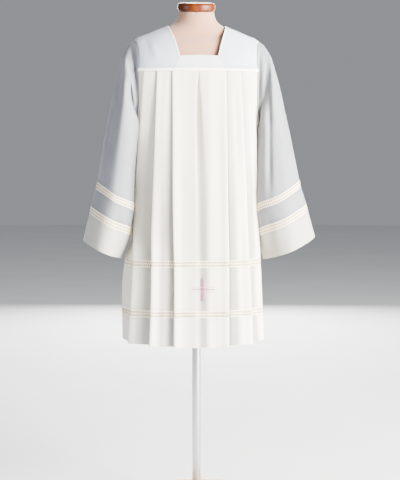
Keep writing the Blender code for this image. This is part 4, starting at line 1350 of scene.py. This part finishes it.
# %% Make the sleeves
for side_name in ("left", "right"):
    rows, places, angles = sleeve_surface(side_name)
    if side_name == "left":
        rows = rows[:, ::-1]
    normals = np.cross(np.gradient(rows, axis=1), np.gradient(rows, axis=0))
    normals[:, 0] = normals[:, -1] = normals[:, 0] + normals[:, -1]
    normals /= np.linalg.norm(normals, axis=2)[..., None]
    rows = rows + sleeve_lift(side_name, places, rows)[..., None] * normals
    start = 0
    for part, (first, final, count) in SLEEVE_PIECES.items():
        stop = start + count + (HEAD_ROWS if part == "main" else 0)
        grid = seam_trim(rows[start:stop], part != "main", part != "cuff")
        node = f"{side_name}_sleeve_{part}"
        if "tape" in part:
            piece = tape_along(f"{node}_openwork", grid, openwork_tape, TAPE_WALL, closed=True)
            declare(piece, node)
        else:
            down = lengths_along(grid, 0).mean(axis=1)
            marks = distance_to_tape(down, part != "main", part != "cuff")
            cuff = part == "cuff"
            piece = cloth_from_grid(
                f"{node}_cloth", grid, cuff_cloth if cuff else sleeve_cloth,
                DOUBLED_CLOTH if cuff else SINGLE_CLOTH, marks, 0.0004 if cuff else 0.0, closed=True,
            )
            declare(piece, node)
        start = stop

# %% [markdown]
# ## Cross
# A small plain cross is embroidered in the middle of the band between the tapes. The upright is satin stitch,
# close threads laid side by side across it, and thin lines of running thread form the arms. Each bar is a small
# cushion made of points of the band, moved out, with a rib for every thread.

# %% Embroider the cross
THREAD_PITCH = 0.0007
CROSS_CENTRE = (0.0040, 0.7300)
CROSS_BARS = {
    "cross_upright": {"x": (-0.0050, 0.0050), "z": (-0.0380, 0.0350), "height": 0.0010, "thread": mauve_thread},
    "cross_arm_middle": {"x": (-0.0340, 0.0390), "z": (-0.0014, 0.0014), "height": 0.0013, "thread": mauve_thread},
    "cross_arm_upper": {"x": (-0.0310, 0.0380), "z": (0.0050, 0.0078), "height": 0.0011, "thread": rose_thread},
    "cross_arm_lower": {"x": (-0.0310, 0.0400), "z": (-0.0096, -0.0068), "height": 0.0011, "thread": rose_thread},
    "cross_line_left": {"x": (-0.0096, -0.0072), "z": (-0.0290, 0.0270), "height": 0.0007, "thread": rose_thread},
    "cross_line_right": {"x": (0.0072, 0.0096), "z": (-0.0290, 0.0270), "height": 0.0007, "thread": rose_thread},
}


def band_point(x, z):
    """A point of the outer face of the centre panel, with its normal."""
    rows = []
    for height in (z - 0.001, z, z + 0.001):
        row = skirt_row(height, "front")
        middle, reach = len(row) // 2, CENTRE_STEPS + PANEL_STEPS - 1
        rows.append(row[middle - reach : middle + reach + 1])
    depth = [np.interp(x, row[:, 0], row[:, 1]) for row in rows]
    wide = np.interp(x + 0.001, rows[1][:, 0], rows[1][:, 1]) - np.interp(x - 0.001, rows[1][:, 0], rows[1][:, 1])
    normal = np.stack([wide / 0.002, np.full_like(x, -1.0), (depth[2] - depth[0]) / 0.002], -1)
    normal /= np.linalg.norm(normal, axis=-1)[..., None]
    return np.stack([x, depth[1], np.full_like(x, z)], -1) + normal * SINGLE_CLOTH / 2, normal


for name, bar in CROSS_BARS.items():
    width, height = bar["x"][1] - bar["x"][0], bar["z"][1] - bar["z"][0]
    upright = height > width
    long_steps = round(max(width, height) / THREAD_PITCH * 3)
    s = np.linspace(0, 1, long_steps + 1)
    t = np.linspace(-1, 1, 9)
    cushion = np.sqrt(np.clip(1 - t**2, 0, 1))
    ends = np.sqrt(np.clip(1 - (2 * s - 1) ** 20, 0, 1))
    ribs = 0.82 + 0.18 * np.cos(2 * math.pi * s * max(width, height) / THREAD_PITCH)
    grid = []
    if upright:
        x = CROSS_CENTRE[0] + (bar["x"][0] + bar["x"][1]) / 2 + width / 2 * t
        for share, end, rib in zip(s, ends, ribs):
            place, out = band_point(x, CROSS_CENTRE[1] + bar["z"][0] + height * share)
            grid.append(place + out * (bar["height"] * cushion * end * rib + 0.0001)[:, None])
    else:
        x = CROSS_CENTRE[0] + bar["x"][0] + width * s
        for share, swell in zip(t, cushion):
            place, out = band_point(x, CROSS_CENTRE[1] + (bar["z"][0] + bar["z"][1]) / 2 + height / 2 * share)
            grid.append(place + out * (bar["height"] * swell * ends * ribs + 0.0001)[:, None])
    grid = np.array(grid)
    faces = []
    rows, columns = grid.shape[:2]
    for r in range(rows - 1):
        for c in range(columns - 1):
            k = r * columns + c
            faces.append((k, k + 1, k + columns + 1, k + columns))
    piece = new_piece(name, grid.reshape(-1, 3), faces, bar["thread"])
    thicken(piece, 0.00012)
    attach(piece, "root")
print("bars of the cross:", len(CROSS_BARS))

# %% [markdown]
# ## Dress form
# The torso's solid already has the right form, so a copy of it is merged, turned back into quads and smoothed
# with a subdivision surface. The cap, the pole and the base are turned parts: each starts as a cylinder and gets
# its rims and grooves from insets and bevels.

# %% Torso
def copy_of_node(node, name):
    """A copy of a solid's mesh, merged and made of quads."""
    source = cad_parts[node]
    mesh = source.data.copy()
    mesh.name = name
    piece = bpy.data.objects.new(name, mesh)
    piece.matrix_world = source.matrix_world
    bpy.context.scene.collection.objects.link(piece)
    select_only(piece)
    bpy.ops.object.transform_apply(location=True, rotation=True, scale=True)
    bpy.ops.object.mode_set(mode="EDIT")
    bpy.ops.mesh.select_all(action="SELECT")
    bpy.ops.mesh.remove_doubles(threshold=0.00002)
    bpy.ops.mesh.tris_convert_to_quads(face_threshold=math.radians(60), shape_threshold=math.radians(60))
    bpy.ops.object.mode_set(mode="OBJECT")
    return piece


def stand_for(piece, node):
    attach(piece, "root")
    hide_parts(node)
    print(f"{piece.name}: {len(piece.data.polygons)} faces")


torso = copy_of_node("form_torso", "form_torso_cover")
torso.data.materials.clear()
torso.data.materials.append(form_knit)
select_only(torso)
bpy.ops.object.modifier_add(type="SUBSURF")
torso.modifiers[-1].levels = torso.modifiers[-1].render_levels = 2
bpy.ops.object.modifier_apply(modifier=torso.modifiers[-1].name)
bpy.ops.object.shade_smooth_by_angle(angle=math.radians(50))
stand_for(torso, "form_torso")

# %% Cap, pole and base
NECK_TILT = math.radians(10)
CAP_HALF = (0.0610, 0.0580)
CAP_HEIGHT = 0.026
POLE_RADIUS = 0.014
BASE_RADIUS = 0.165
BASE_HEIGHT = 0.028


def turned_part(name, radius, foot, top, sides, material):
    """A closed cylinder between two heights, ready for its rims."""
    bpy.ops.object.select_all(action="DESELECT")
    bpy.ops.mesh.primitive_cylinder_add(
        vertices=sides, radius=radius, depth=top - foot, location=(0, 0, (foot + top) / 2)
    )
    piece = bpy.context.object
    piece.name = piece.data.name = name
    bpy.ops.object.transform_apply(location=True)
    piece.data.materials.append(material)
    return piece


def select_faces(piece, wanted):
    """Selects the faces whose centre and normal satisfy a test, in edit mode."""
    bpy.ops.object.mode_set(mode="EDIT")
    bpy.ops.mesh.select_mode(type="FACE")
    bpy.ops.mesh.select_all(action="DESELECT")
    bpy.ops.object.mode_set(mode="OBJECT")
    for polygon in piece.data.polygons:
        polygon.select = wanted(polygon.center, polygon.normal)
    bpy.ops.object.mode_set(mode="EDIT")


def round_rims(piece, width, segments):
    select_only(piece)
    bpy.ops.object.modifier_add(type="BEVEL")
    rim = piece.modifiers[-1]
    rim.width, rim.segments, rim.limit_method, rim.angle_limit = width, segments, "ANGLE", math.radians(40)
    bpy.ops.object.modifier_apply(modifier=rim.name)
    bpy.ops.object.shade_smooth_by_angle(angle=math.radians(35))


cap_box_low, cap_box_high = (Vector(corner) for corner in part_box("form_cap"))
cap_centre = (cap_box_low + cap_box_high) / 2
cap = turned_part("form_cap_wood", 1.0, -CAP_HEIGHT / 2, CAP_HEIGHT / 2, 96, cap_wood)
select_only(cap)
cap.scale = (CAP_HALF[0], CAP_HALF[1], 1)
bpy.ops.object.transform_apply(scale=True)
select_faces(cap, lambda centre, normal: normal.z > 0.9)
bpy.ops.mesh.inset(thickness=0.010)
bpy.ops.transform.translate(value=(0, 0, 0.0008))
bpy.ops.object.mode_set(mode="OBJECT")
round_rims(cap, 0.0080, 6)
cap.rotation_euler = (NECK_TILT, 0, 0)
cap.location = cap_centre
bpy.ops.object.transform_apply(location=True, rotation=True)
stand_for(cap, "form_cap")

pole_low, pole_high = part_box("form_pole")
pole = turned_part("form_pole_steel", POLE_RADIUS, pole_low[2], pole_high[2], 72, brushed_steel)
round_rims(pole, 0.0012, 3)
stand_for(pole, "form_pole")

base = turned_part("form_base_wood", BASE_RADIUS, 0.0, BASE_HEIGHT, 128, base_wood)
select_faces(base, lambda centre, normal: normal.z > 0.9)
bpy.ops.mesh.inset(thickness=0.022)
bpy.ops.mesh.inset(thickness=0.003)
bpy.ops.transform.translate(value=(0, 0, -0.0015))
bpy.ops.mesh.inset(thickness=0.002)
bpy.ops.transform.translate(value=(0, 0, 0.0015))
bpy.ops.object.mode_set(mode="OBJECT")
round_rims(base, 0.0060, 5)
stand_for(base, "form_base")
